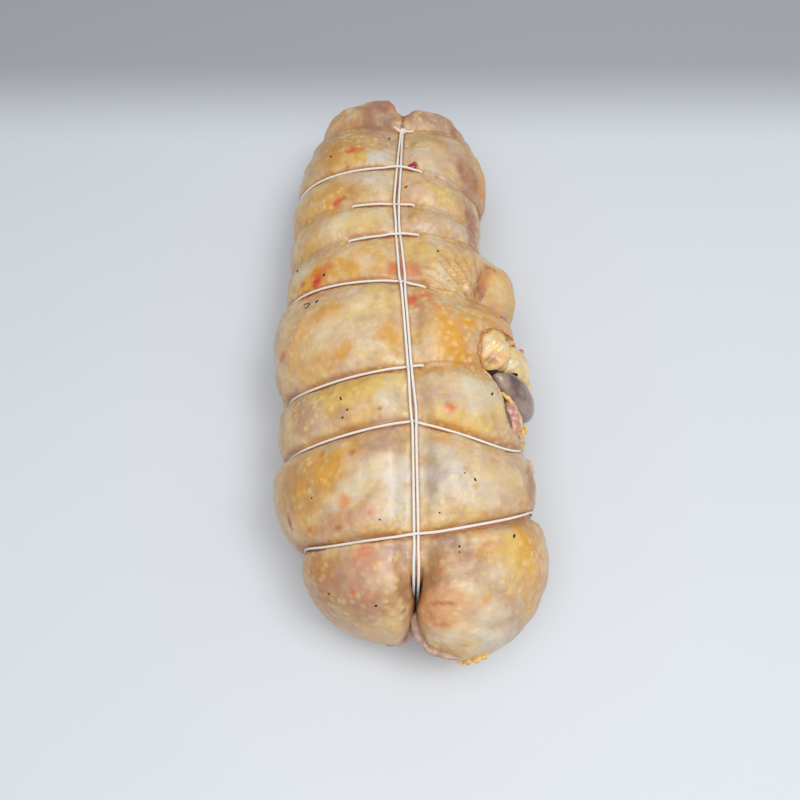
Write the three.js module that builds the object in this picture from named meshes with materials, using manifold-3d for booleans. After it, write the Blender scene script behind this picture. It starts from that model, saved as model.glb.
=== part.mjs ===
// A boned guinea fowl, stuffed, rolled in its skin and tied with cotton string, raw.
//
// The roll lies along Y: +Y is the end with the knot, -Y the end with the two big
// lobes, +X the side where the skin gapes, +Z up. It rests on z = 0, and the origin is
// below the middle of the whole. All sizes are millimetres.
//
// The skin is one closed surface. Ten ribs, sections across the roll, carry it: one
// under each of the eight loops of string, and one where each end begins. Between two
// ribs the skin swells like a pillow, and beyond the end ribs it closes in two lobes
// with the lengthwise string in the cleft between them.

import * as THREE from "three";
import { mergeVertices } from "three/addons/utils/BufferGeometryUtils.js";
import Module from "manifold-3d";

const wasm = await Module();
wasm.setup();

// ---- Driving dimensions -------------------------------------------------------------

const STRING_DIAMETER = 1.5;
const STRING_SIDES = 5;
const GAP = 0.35; // between a string and what it lies on or crosses
const LUMP_GAP = 0.4; // between a lump of flesh and the skin beside it

// A rib's y over the crease and at both sides, the half widths from the middle, the
// height over the board and the x of the crease. The first and last are the end ribs.
const RIBS = [
  { top: 126, left: 132, right: 128, halfLeft: 37.5, halfRight: 30.5, height: 49, crease: 0.5 },
  { top: 114, left: 120, right: 117, halfLeft: 42, halfRight: 36, height: 49, crease: -0.5 },
  { top: 76, left: 73, right: 70, halfLeft: 51.5, halfRight: 38, height: 63, crease: -2 },
  { top: 50, left: 48, right: 50, halfLeft: 53, halfRight: 36.5, height: 65, crease: -3.2 },
  { top: 32, left: 30, right: 41, halfLeft: 53.5, halfRight: 39, height: 66, crease: -2.4 },
  { top: 7, left: 10, right: 6, halfLeft: 54, halfRight: 46, height: 68, crease: -0.4 },
  { top: -35, left: -36, right: -28, halfLeft: 51.5, halfRight: 46, height: 69, crease: 2.4 },
  { top: -59, left: -64, right: -58, halfLeft: 51, halfRight: 49.5, height: 68, crease: 4.1 },
  { top: -104, left: -103, right: -87, halfLeft: 41.5, halfRight: 51.5, height: 63, crease: 4.6 },
  { top: -110, left: -109, right: -104, halfLeft: 40, halfRight: 54, height: 59, crease: 4.6 },
];

// How far the skin swells between two ribs, on the left, on the right and on top.
const SWELLS = [
  { left: 3.5, right: 2.6, top: 5 },
  { left: 3, right: 6.5, top: 6 },
  { left: 3, right: 2.5, top: 4 },
  { left: 2.5, right: 1.5, top: 4 },
  { left: 2.5, right: 10, top: 4.5 },
  { left: 7.5, right: 5.5, top: 6 },
  { left: 6, right: 4, top: 5.5 },
  { left: 9, right: 5.5, top: 6.5 },
  { left: 2.5, right: 5.5, top: 6 },
];

const UNEVEN = 0.9; // low swells all over the skin
const WIDEST_LEVEL = 33; // height of a rib's widest level
const UPPER_POWER = 2.05; // superellipse of the upper half of a section
const LOWER_POWER = 2.7;
const PILLOW_POWER = 2.3; // how full the swelling between two ribs is
const SIDE_LAG_POWER = 1.15; // how a rib's y goes from its top to its sides

const GROOVE_HALF_WIDTH = 1.2; // flat floor under a loop of string
const GROOVE_UNDER_HEIGHT = 4.3; // that floor over the board, on the underside
const UNDER_SWELL = 12; // takes the skin down to the board between the loops
const CREASE_HALF_WIDTH = 2.4; // flat floor under the two lengthwise strands
const CREASE_SLOPE = 5; // how wide its sides are
const CREASE_SHARE = 0.3; // share of the swelling that is left on that floor
const CREASE_UNDER_HEIGHT = 2.4;

// Lobes beyond the end ribs: how far each lobe and the cleft between them reach, the
// width over which a lobe rounds into the cleft, and how square it is seen from above.
const FAR_END = { left: 19, right: 8, cleft: 3, innerLeft: 8, innerRight: 9, power: 1.9 };
const NEAR_END = { left: 27, right: 39, cleft: 16, innerLeft: 6, innerRight: 14, power: 2.4 };
const LOBE_DROOP = 1.25; // above 1 puts a lobe's tip below half its height

// Columns of the grid, from the right side over the top to the left: shares of the half
// width, and then distances from the crease.
const COLUMN_ANGLES = [0, 9, 18, 27, 37, 47, 58, 68];
const CREASE_COLUMNS = [9.5, 5, CREASE_HALF_WIDTH];
const CAP_STEPS = 9;

// Rows between two loops, as shares of the way from one groove's wall to the next.
const LONG_ROWS = [0, 0.05, 0.17, 0.38, 0.62, 0.83, 0.95, 1];
const SHORT_ROWS = [0, 0.08, 0.3, 0.7, 0.92, 1];
const LONG_SEGMENT = 26;

const STRAND_SPACING = 1.96; // between the two lengthwise strands
const HUMP = STRING_DIAMETER + GAP; // a string lifts by this to cross another
const HUMP_LENGTH = 6;
const AT_LOOP = 0.001; // just past a loop, so that the place counts to the next segment
const LOOPS_ON_TOP = [2, 4, 8]; // loops that cross over the lengthwise strands

// The tie over the first loop, with the x and y that its two tails reach.
const KNOT = {
  halfWidth: 2.2,
  halfLength: 1.8,
  halfHeight: 1.3,
  tailRadius: 0.7,
  clear: 1, // over the strands, which rise towards the middle of the roll
  tails: [
    [-5, 3.5],
    [4.5, 0.8],
  ],
};

// Bare flesh where the skin gapes on the right: middle, half sizes, turn about Z.
const LUMP_COLUMNS = 16;
const LUMP_ROWS = 10;
const LOOPS_BY_THE_LUMPS = [5, 6, 7];
const LUMPS = [
  { name: "fat_lump", finish: "fat", centre: [38, -18.5, 55.5], half: [8, 8.5, 8], turn: 10 },
  { name: "thigh_muscle", finish: "muscle", centre: [48.5, -30.5, 37.5], half: [10.5, 10.5, 13.5], turn: 20 },
  { name: "side_fat", finish: "fat", centre: [50, -15.5, 38.5], half: [9.5, 10, 12], turn: -15 },
  { name: "muscle_strip", finish: "pink", centre: [47.5, -46, 43], half: [5.5, 11, 9], turn: 8 },
];
const LUMP_SWELL = 0.045; // share of its size by which a lump is uneven

const LOOP_COUNT = RIBS.length - 2;
const MIDDLE = 1.5; // y of the middle of the whole, in the ribs' numbers
const STRING_LIFT = STRING_DIAMETER / 2 + GAP;

// ---- The skin's surface --------------------------------------------------------------

const mix = (a, b, t) => a + (b - a) * t;
const clamp = (value, low, high) => Math.min(high, Math.max(low, value));
const arch = (share, power) => Math.pow(1 - Math.pow(Math.abs(share), power), 1 / power);

/** Rises from 0 on the floor of a crease to 1 well beside it. */
function besideCrease(distance, slope) {
  const out = Math.max(0, Math.abs(distance) - CREASE_HALF_WIDTH) / slope;
  return 1 - Math.exp(-out * out);
}

/** Low uneven swells of the skin, in millimetres. */
function unevenness(x, y) {
  const long = Math.sin(x / 11 + y / 23 + 0.7) * Math.sin(y / 17 + 1.9);
  const short = Math.sin(x / 6.5 - y / 9 + 2.2) * Math.sin(y / 7.5 + x / 21);
  return UNEVEN * (long + 0.5 * short);
}

/** The y of one rib at a share of its width, on its upper or lower half. */
function ribY(rib, share, upper) {
  const side = share < 0 ? rib.left : rib.right;
  const middle = upper ? rib.top : (rib.left + rib.right) / 2;
  return mix(middle, side, Math.pow(Math.abs(share), SIDE_LAG_POWER));
}

/**
 * A section of the roll at a place between ribs `index` and `index + 1`. `t` is 0 at
 * one rib and 1 at the next, `swell` is 0 on a groove's floor and 1 at the fullest.
 */
function section(index, t, swell) {
  const a = RIBS[index];
  const b = RIBS[Math.min(index + 1, RIBS.length - 1)];
  const bulge = SWELLS[Math.min(index, SWELLS.length - 1)];
  const halfLeft = mix(a.halfLeft, b.halfLeft, t) + bulge.left * swell;
  const halfRight = mix(a.halfRight, b.halfRight, t) + bulge.right * swell;
  const height = mix(a.height, b.height, t);
  const crease = mix(a.crease, b.crease, t);
  const half = (share) => (share < 0 ? halfLeft : halfRight);
  return {
    shareOf: (distance) => distance / half(distance),
    distanceOf: (share) => half(share) * share,
    point(share, upper) {
      const distance = half(share) * share;
      const x = crease * (1 - share * share) + distance;
      const y = mix(ribY(a, share, upper), ribY(b, share, upper), t);
      const beside = besideCrease(distance, CREASE_SLOPE);
      if (upper) {
        const rough = unevenness(x, y) * swell * beside;
        const top = height + bulge.top * swell * mix(CREASE_SHARE, 1, beside) + rough;
        return new THREE.Vector3(x, y, mix(WIDEST_LEVEL, top, arch(share, UPPER_POWER)));
      }
      const under = GROOVE_UNDER_HEIGHT - UNDER_SWELL * swell;
      const z = mix(WIDEST_LEVEL, under, arch(share, LOWER_POWER));
      const floor = CREASE_UNDER_HEIGHT * (1 - besideCrease(distance, 2));
      return new THREE.Vector3(x, y, Math.max(z, floor < 0.01 ? 0 : floor));
    },
  };
}

/** The section at a distance along the roll past rib `index`, in millimetres. */
function sectionPast(index, distance) {
  if (distance < 0) {
    return sectionPast(index - 1, RIBS[index - 1].top - RIBS[index].top + distance);
  }
  const length = RIBS[index].top - RIBS[index + 1].top;
  const first = index === 0 ? 0 : GROOVE_HALF_WIDTH;
  const last = index === LOOP_COUNT ? 0 : GROOVE_HALF_WIDTH;
  const inside = clamp((distance - first) / (length - first - last), 0, 1);
  let across = 2 * inside - 1;
  if (index === 0) across = inside; // the end ribs stand where the skin is fullest
  if (index === LOOP_COUNT) across = inside - 1;
  return section(index, distance / length, arch(across, PILLOW_POWER));
}

/** Signed shares or distances of the columns over the top, from right to left. */
function columnsOf(row) {
  const right = COLUMN_ANGLES.map((angle) => Math.cos(THREE.MathUtils.degToRad(angle)));
  const wide = right.map((cosine) => Math.sign(cosine) * Math.pow(cosine, 2 / UPPER_POWER));
  const near = CREASE_COLUMNS;
  return [
    ...wide,
    ...near.map((distance) => row.shareOf(distance)),
    ...near.toReversed().map((distance) => row.shareOf(-distance)),
    ...wide.toReversed().map((share) => -share),
  ];
}

/** A row of the grid: over the top from right to left, then back underneath. */
function rowPoints(row) {
  const shares = columnsOf(row);
  const over = shares.map((share) => row.point(share, true));
  const under = shares.slice(1, -1).toReversed().map((share) => row.point(share, false));
  return [...over, ...under];
}

/** Every row along the roll, from the far end rib to the near one. */
function rollSections() {
  const rows = [];
  for (let index = 0; index <= LOOP_COUNT; index++) {
    const length = RIBS[index].top - RIBS[index + 1].top;
    const first = index === 0 ? 0 : GROOVE_HALF_WIDTH;
    const last = index === LOOP_COUNT ? 0 : GROOVE_HALF_WIDTH;
    let shares = length > LONG_SEGMENT ? LONG_ROWS : SHORT_ROWS;
    if (index === 0) shares = [0, 0.4, 0.75, 0.93, 1];
    if (index === LOOP_COUNT) shares = [0, 0.08, 0.4, 1];
    for (const share of shares) {
      rows.push(sectionPast(index, mix(first, length - last, share)));
    }
  }
  return rows;
}

/** A place on a rounded end: `turn` goes from 0 on top to 1 underneath. */
function endPoint(row, share, turn, end, way) {
  const over = row.point(share, true);
  const under = row.point(share, false);
  const left = share < 0;
  const out = Math.abs(row.distanceOf(share)) - CREASE_HALF_WIDTH;
  const inner = clamp(out / (left ? end.innerLeft : end.innerRight), 0, 1);
  const lobe = left ? end.left : end.right;
  const reach = mix(end.cleft, lobe, arch(1 - inner, 2)) * arch(share, end.power);
  const angle = Math.PI * (0.5 - turn);
  const level = Math.pow((1 + Math.sin(angle)) / 2, LOBE_DROOP);
  return new THREE.Vector3(
    over.x,
    mix(over.y, under.y, turn) + way * reach * Math.pow(Math.max(0, Math.cos(angle)), 0.9),
    Math.max(0, mix(under.z, over.z, level)),
  );
}

// ---- Meshes ---------------------------------------------------------------------------

/** One closed mesh from corner points and faces of three or four corners. */
function closedMesh(points, faces) {
  const index = [];
  for (const [a, b, c, d] of faces) {
    index.push(a, b, c);
    if (d !== undefined) index.push(a, c, d);
  }
  const geometry = new THREE.BufferGeometry();
  geometry.setAttribute("position", new THREE.Float32BufferAttribute(points.flatMap((p) => p.toArray()), 3));
  geometry.setIndex(index);
  return geometry;
}

/** The skin: the rows of the roll, closed at both ends by upright strips. */
function skinGeometry() {
  const sections = rollSections();
  const rows = sections.map(rowPoints);
  const points = rows.flat();
  const around = rows[0].length;
  const over = around / 2 + 1; // columns from one side over the top to the other
  const faces = [];
  for (let row = 0; row + 1 < rows.length; row++) {
    for (let column = 0; column < around; column++) {
      const next = (column + 1) % around;
      const here = row * around;
      faces.push([here + column, here + next, here + around + next, here + around + column]);
    }
  }
  const addEnd = (rowIndex, end, way) => {
    const row = sections[rowIndex];
    const shares = columnsOf(row);
    const first = rowIndex * around;
    const strips = shares.map((share, column) => {
      const opposite = (around - column) % around;
      if (column === 0 || column === over - 1) return Array(CAP_STEPS + 1).fill(first + column);
      const strip = [first + column];
      for (let step = 1; step < CAP_STEPS; step++) {
        strip.push(points.length);
        points.push(endPoint(row, share, step / CAP_STEPS, end, way));
      }
      strip.push(first + opposite);
      return strip;
    });
    for (let column = 0; column + 1 < over; column++) {
      for (let step = 0; step < CAP_STEPS; step++) {
        const face = [
          strips[column][step],
          strips[column + 1][step],
          strips[column + 1][step + 1],
          strips[column][step + 1],
        ];
        const corners = face.filter((corner, at) => face.indexOf(corner) === at);
        if (corners.length > 2) faces.push(way > 0 ? corners.toReversed() : corners);
      }
    }
  };
  addEnd(0, FAR_END, 1);
  addEnd(sections.length - 1, NEAR_END, -1);
  return closedMesh(points, faces);
}

/** A line through given points, whose tube steps fall on those points. */
class StepCurve extends THREE.Curve {
  constructor(points, closed) {
    super();
    this.points = points;
    this.closed = closed;
    this.steps = closed ? points.length : points.length - 1;
  }

  at(step) {
    const count = this.points.length;
    return this.points[this.closed ? (step + count) % count : clamp(step, 0, count - 1)];
  }

  getPoint(t, target = new THREE.Vector3()) {
    return target.copy(this.at(Math.round(t * this.steps)));
  }

  getPointAt(u, target) {
    return this.getPoint(u, target);
  }

  getTangentAt(u, target = new THREE.Vector3()) {
    const step = Math.round(u * this.steps);
    const before = this.at(step).clone().sub(this.at(step - 1));
    const after = this.at(step + 1).clone().sub(this.at(step));
    return target.copy(before.normalize().add(after.normalize())).normalize();
  }
}

/** A closed ring of string through given points. */
function ringGeometry(points, radius = STRING_DIAMETER / 2) {
  return new THREE.TubeGeometry(new StepCurve(points, true), points.length, radius, STRING_SIDES, true);
}

/** The points of a closed line, moved outwards in the plane that `across` is normal to. */
function liftedLine(points, lifts, across) {
  return points.map((point, at) => {
    const before = points.at(at - 1);
    const after = points[(at + 1) % points.length];
    const along = after.clone().sub(before).projectOnPlane(across).normalize();
    const outward = new THREE.Vector3().crossVectors(along, across).normalize();
    return point.clone().addScaledVector(outward, lifts[at]);
  });
}

/** How far a string rises at a distance from the middle of a crossing, which it spans flat. */
function humpAt(distance, flat) {
  const out = clamp((Math.abs(distance) - flat) / (HUMP_LENGTH - flat), 0, 1);
  return HUMP * (1 - out) * (1 - out) * (1 + 2 * out);
}

// ---- String ----------------------------------------------------------------------------

/** The line of one loop round the roll, on the floor of its groove. */
function loopLine(index) {
  return rowPoints(section(index, 0, 0));
}

/** A loop of string lies in its groove and crosses over or under the two strands. */
function loopPoints(index) {
  const line = loopLine(index);
  const crossesOver = LOOPS_ON_TOP.includes(index);
  const lifts = line.map((point) => {
    const onTop = point.z > WIDEST_LEVEL;
    const hump = onTop && crossesOver ? humpAt(point.x - RIBS[index].crease, CREASE_HALF_WIDTH) : 0;
    return STRING_LIFT + hump;
  });
  return liftedLine(line, lifts, new THREE.Vector3(0, -1, 0));
}

/** Distances along the roll at which a lengthwise strand has a point, past each loop. */
function strandStations() {
  const stations = [];
  for (let index = 0; index <= LOOP_COUNT; index++) {
    const length = RIBS[index].top - RIBS[index + 1].top;
    if (index > 0) stations.push([index, AT_LOOP], [index, STRING_DIAMETER]);
    if (index > 0 && length > HUMP_LENGTH + STRING_DIAMETER) stations.push([index, HUMP_LENGTH]);
    if (length > LONG_SEGMENT) stations.push([index, length * 0.35], [index, length * 0.65]);
    else if (length > 3 * HUMP_LENGTH) stations.push([index, length / 2]);
    if (index < LOOP_COUNT) {
      stations.push([index, length - HUMP_LENGTH], [index, length - STRING_DIAMETER]);
    }
  }
  return stations;
}

/** One of the two strands that run lengthwise round the whole roll. */
function strandPoints(side) {
  const offset = (side * STRAND_SPACING) / 2;
  const over = [];
  const under = [];
  const overLifts = [];
  const underLifts = [];
  for (const [index, distance] of strandStations()) {
    const row = sectionPast(index, distance);
    const share = row.shareOf(offset);
    over.push(row.point(share, true));
    under.push(row.point(share, false).setZ(CREASE_UNDER_HEIGHT));
    const nearest = distance < HUMP_LENGTH + 0.01 ? index : index + 1;
    const away = nearest === index ? distance : RIBS[index].top - RIBS[index + 1].top - distance;
    const crossing = nearest >= 1 && nearest <= LOOP_COUNT;
    const hump = crossing ? humpAt(away, STRING_DIAMETER) : 0;
    overLifts.push(STRING_LIFT + (LOOPS_ON_TOP.includes(nearest) ? 0 : hump));
    underLifts.push(STRING_LIFT);
  }
  const capPoints = (rowIndex, end, way) => {
    const row = rollSections().at(rowIndex);
    const share = row.shareOf(offset);
    return Array.from({ length: CAP_STEPS + 1 }, (_, step) =>
      endPoint(row, share, step / CAP_STEPS, end, way),
    );
  };
  const near = capPoints(-1, NEAR_END, -1);
  const far = capPoints(0, FAR_END, 1).toReversed();
  const line = [...over, ...near, ...under.toReversed(), ...far];
  const capLifts = near.map(() => STRING_LIFT);
  const lifts = [...overLifts, ...capLifts, ...underLifts.toReversed(), ...capLifts];
  return liftedLine(line, lifts, new THREE.Vector3(1, 0, 0));
}

// ---- Knot and bare flesh ------------------------------------------------------------

/** A manifold-3d solid of a three.js geometry. */
function solidOf(geometry) {
  const bare = geometry.clone();
  bare.deleteAttribute("normal");
  bare.deleteAttribute("uv");
  const merged = mergeVertices(bare, 1e-4);
  const vertProperties = new Float32Array(merged.getAttribute("position").array);
  const triVerts = new Uint32Array(merged.index.array);
  return new wasm.Manifold(new wasm.Mesh({ numProp: 3, vertProperties, triVerts }));
}

/** The three.js geometry of the largest piece of a solid. */
function geometryOf(solid) {
  const pieces = solid.decompose().toSorted((a, b) => b.volume() - a.volume());
  const { numProp, vertProperties, triVerts } = pieces[0].getMesh();
  if (numProp !== 3) throw new Error("a cut solid has more than positions");
  const geometry = new THREE.BufferGeometry();
  geometry.setAttribute("position", new THREE.BufferAttribute(vertProperties, 3));
  geometry.setIndex(Array.from(triVerts));
  return geometry;
}

/** A closed mesh with every corner moved outwards. */
function grown(geometry, distance) {
  const result = geometry.clone();
  result.computeVertexNormals();
  const position = result.getAttribute("position");
  const normal = result.getAttribute("normal");
  for (let at = 0; at < position.count; at++) {
    const point = new THREE.Vector3().fromBufferAttribute(position, at);
    point.addScaledVector(new THREE.Vector3().fromBufferAttribute(normal, at), distance);
    position.setXYZ(at, ...point.toArray());
  }
  return result;
}

/** The tie at the far end: a turned bead with two short tails, over the first loop. */
function knotSolid() {
  const rib = RIBS[1];
  const level = rib.height + STRING_LIFT + HUMP + STRING_DIAMETER / 2 + KNOT.clear;
  const bead = new THREE.SphereGeometry(1, 12, 8);
  bead.scale(KNOT.halfWidth, KNOT.halfLength, KNOT.halfHeight);
  bead.translate(rib.crease, rib.top, level + KNOT.halfHeight);
  let knot = solidOf(bead);
  for (const [x, y] of KNOT.tails) {
    const tail = new THREE.CapsuleGeometry(KNOT.tailRadius, Math.hypot(x, y), 3, 6);
    tail.rotateZ(-Math.atan2(x, y));
    tail.translate(rib.crease + x / 2, rib.top + y / 2, level + KNOT.halfHeight);
    knot = knot.add(solidOf(tail));
  }
  return knot;
}

/** A soft lump: a ball drawn out to three half sizes, with low swells over it. */
function lumpSolid({ centre, half, turn }) {
  const ball = new THREE.SphereGeometry(1, LUMP_COLUMNS, LUMP_ROWS);
  const position = ball.getAttribute("position");
  for (let at = 0; at < position.count; at++) {
    const point = new THREE.Vector3().fromBufferAttribute(position, at);
    const wave = Math.sin(3.1 * point.x + 1.3) * Math.sin(2.6 * point.y + 0.4) + Math.sin(3.7 * point.z);
    position.setXYZ(at, ...point.multiplyScalar(1 + LUMP_SWELL * wave).toArray());
  }
  ball.scale(...half);
  ball.rotateZ(THREE.MathUtils.degToRad(turn));
  ball.translate(...centre);
  return solidOf(ball);
}

// ---- The whole -------------------------------------------------------------------------

const skinColour = new THREE.MeshStandardMaterial({ color: 0xd9b98c, roughness: 0.45, metalness: 0 });
const stringColour = new THREE.MeshStandardMaterial({ color: 0xf1ece0, roughness: 0.9, metalness: 0 });
const fatColour = new THREE.MeshStandardMaterial({ color: 0xe9c98e, roughness: 0.4, metalness: 0 });
const muscleColour = new THREE.MeshStandardMaterial({ color: 0x776366, roughness: 0.3, metalness: 0 });
const pinkColour = new THREE.MeshStandardMaterial({ color: 0xbd8078, roughness: 0.35, metalness: 0 });

const roast = new THREE.Group();
roast.position.y = -MIDDLE;

function addPiece(name, geometry, material) {
  const mesh = new THREE.Mesh(geometry, material);
  mesh.name = name;
  roast.add(mesh);
}

const skin = skinGeometry();
addPiece("stuffed_roll", skin, skinColour);

for (let index = 1; index <= LOOP_COUNT; index++) {
  addPiece(`string_loop_${index}`, ringGeometry(loopPoints(index)), stringColour);
}
addPiece("string_strand_left", ringGeometry(strandPoints(-1)), stringColour);
addPiece("string_strand_right", ringGeometry(strandPoints(1)), stringColour);
addPiece("string_knot", geometryOf(knotSolid()), stringColour);

// Each lump gives way to the skin, to the loops beside it and to the lumps before it.
let taken = solidOf(grown(skin, LUMP_GAP));
for (const index of LOOPS_BY_THE_LUMPS) {
  taken = taken.add(solidOf(ringGeometry(loopPoints(index), STRING_DIAMETER / 2 + LUMP_GAP)));
}
const lumpColours = { fat: fatColour, muscle: muscleColour, pink: pinkColour };
for (const lump of LUMPS) {
  const own = lumpSolid(lump);
  const larger = lumpSolid({ ...lump, half: lump.half.map((size) => size + LUMP_GAP) });
  addPiece(lump.name, geometryOf(own.subtract(taken)), lumpColours[lump.finish]);
  taken = taken.add(larger);
}

export default roast;
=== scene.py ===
"""A raw boned guinea fowl, stuffed, rolled in its skin and tied with cotton string.

Lengths in this file are millimetres in the numbers that the part's ribs are given in;
`to_metres` moves them to the frame, where the origin is below the middle of the roll.
"""

import functools
import math

import bpy
import numpy as np
from bpy.props import FloatProperty, FloatVectorProperty, IntProperty, PointerProperty
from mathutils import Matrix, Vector


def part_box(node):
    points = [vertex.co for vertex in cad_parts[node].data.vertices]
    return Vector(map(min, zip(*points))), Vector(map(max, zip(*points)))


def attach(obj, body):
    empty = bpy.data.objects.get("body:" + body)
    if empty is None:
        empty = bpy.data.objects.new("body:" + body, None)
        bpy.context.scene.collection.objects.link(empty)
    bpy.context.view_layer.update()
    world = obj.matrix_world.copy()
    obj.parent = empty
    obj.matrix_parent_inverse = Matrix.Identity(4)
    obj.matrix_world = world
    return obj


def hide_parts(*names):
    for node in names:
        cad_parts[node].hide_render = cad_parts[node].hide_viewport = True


bl_info = {
    "name": "Stuffed guinea fowl roast",
    "version": (1, 0, 0),
    "blender": (4, 5, 0),
    "location": "3D View > Sidebar > Roast",
    "description": "Builds a raw, tied and stuffed guinea fowl roast on its measured frame",
    "category": "Object",
}

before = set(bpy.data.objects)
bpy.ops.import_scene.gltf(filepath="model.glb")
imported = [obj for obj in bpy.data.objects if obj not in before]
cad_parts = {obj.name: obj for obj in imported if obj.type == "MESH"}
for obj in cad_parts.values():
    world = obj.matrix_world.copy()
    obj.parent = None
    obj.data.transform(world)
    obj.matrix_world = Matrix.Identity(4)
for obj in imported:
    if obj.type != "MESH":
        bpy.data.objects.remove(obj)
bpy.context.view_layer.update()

# ---- The roll's measurements -----------------------------------------------------------

LIFT = 0.9  # middle of a string over the floor of its groove
MIDDLE = 1.5  # y of the frame's origin
# y over the crease, at the left and at the right; half widths; height; x of the crease;
# how far the line bends along y halfway down the left and the right
RIBS = np.array(
    [
        (126, 132, 128, 37.5, 27.5, 49, 0.5, 0, 0),
        (114, 120, 117, 42.6, 35, 49, -0.5, 7, 0),
        (77, 77, 70, 52.5, 38, 63, -2, 0, 0),
        (53, 54, 52, 53, 36.5, 65, -3.2, 0, 0),
        (34.2, 30.5, 37.5, 53.5, 37.5, 66, -2.4, 0, 0),
        (7.6, 10, 6, 54, 46, 68, -0.4, 0, -8.5),
        (-35.2, -38, -28, 50.2, 46, 69, 2.4, -3.9, 0),
        (-59.3, -65.5, -60, 49, 51, 68, 4.1, -2, -10.5),
        (-104, -103, -87, 39.6, 53.2, 63, 4.6, -4.3, -4.5),
        (-110, -109, -104, 39, 53.6, 59, 4.6, 0, 0),
    ]
)
TOP, LEFT, RIGHT, HALF_LEFT, HALF_RIGHT, HEIGHT, CREASE, BEND_LEFT, BEND_RIGHT = range(9)
# how far the skin swells between two ribs: left, right, top
SWELLS = np.array(
    [
        (3.5, 2.6, 5),
        (4.2, 6, 6),
        (3, 2, 4),
        (2.5, 1, 4),
        (2.5, 11, 4.5),
        (7.5, 5.5, 6),
        (5.6, 4, 5.5),
        (10, 4, 6.5),
        (2.5, 5.8, 6),
    ]
)
LAST = len(RIBS) - 2
WIDEST = 33  # height at which the roll is widest
GROOVE = 1.2  # half width of a loop's groove
CREASE_FLOOR = 2.4  # half width of the crease that the two strands lie in
TOP_POWER = 2.05  # of the superellipse above the widest height
UNDER_POWER = 2.7  # of the one below it
SWELL_POWER = 2.3  # of a pillow's swelling between two loops
LOOPS_OVER = (2, 4, 8)  # the loops that pass over the strands; the others pass under them
HUMP = 0.75  # rise of one string over another
HUMP_LENGTH = 8  # how far from the crossing the hump ends
DIP = 0.55  # sinking of the lower string there, as a share of the hump
STRAND = 0.98  # half the distance between the two strands underneath
STRING_STEP = 0.55  # length of a string's faces
STRING_SIDES = 14
# The two rounded ends. Pairs are for the left and the right lobe. reach: how far a lobe
# stands out; cleft: how far the floor between the lobes does; inner: width of a lobe's
# inner flank; power: of its outline from above; round: of its profile from top to board;
# flank: of the rise of its inner flank; way: towards +y or -y
FAR_END = {
    "reach": (19.5, 10),
    "cleft": 0,
    "inner": (6, 18),
    "power": (1.75, 1.6),
    "round": (0.9, 1.7),
    "flank": 1.35,
    "way": 1,
}
NEAR_END = {
    "reach": (31.5, 39.8),
    "cleft": 16,
    "inner": (7, 21),
    "power": (2, 2.34),
    "round": (0.9, 0.9),
    "flank": 2,
    "way": -1,
}

# Stretches of a loop, from x to x, over which the skin closes above the string.
COVERED = {
    1: [(-70, 70)],
    2: [(9, 70)],
    3: [(-70, -24), (5, 70)],
    4: [(-70, -25), (7, 70)],
    5: [(10, 70)],
    6: [(8, 70)],
    7: [(49, 70)],
    8: [],
}

# ---- Colours ---------------------------------------------------------------------------


def linear(code):
    """Linear red, green, blue of a colour written as six hexadecimal digits."""
    parts = [int(code[at : at + 2], 16) / 255 for at in (0, 2, 4)]
    return tuple(c / 12.92 if c < 0.04045 else ((c + 0.055) / 1.055) ** 2.4 for c in parts)


PALETTE = {
    "cream": "dcbb8c",
    "pale": "e8d7bd",
    "bluish": "dad7cf",
    "mauve": "bfa193",
    "grey mauve": "a08379",
    "purple": "a06a60",
    "rose": "d79f88",
    "salmon": "dc8a68",
    "peach": "e6ae74",
    "ochre": "cf9a4a",
    "golden": "e0a234",
    "yellow": "e6c777",
    "tan": "b58655",
    "brown": "7f5230",
    "rust": "b05e26",
    "orange": "d9762a",
    "scarlet": "cc3018",
    "blood": "960f16",
    "flesh": "6b5855",
    "fascia": "b9a08e",
    "dark": "1d120e",
}
LINEAR = {name: np.array(linear(code)) for name, code in PALETTE.items()}
SKIN_LEVEL = (0.865, 0.89, 0.905, 1)  # takes the skin's tint down to suit the lights

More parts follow.
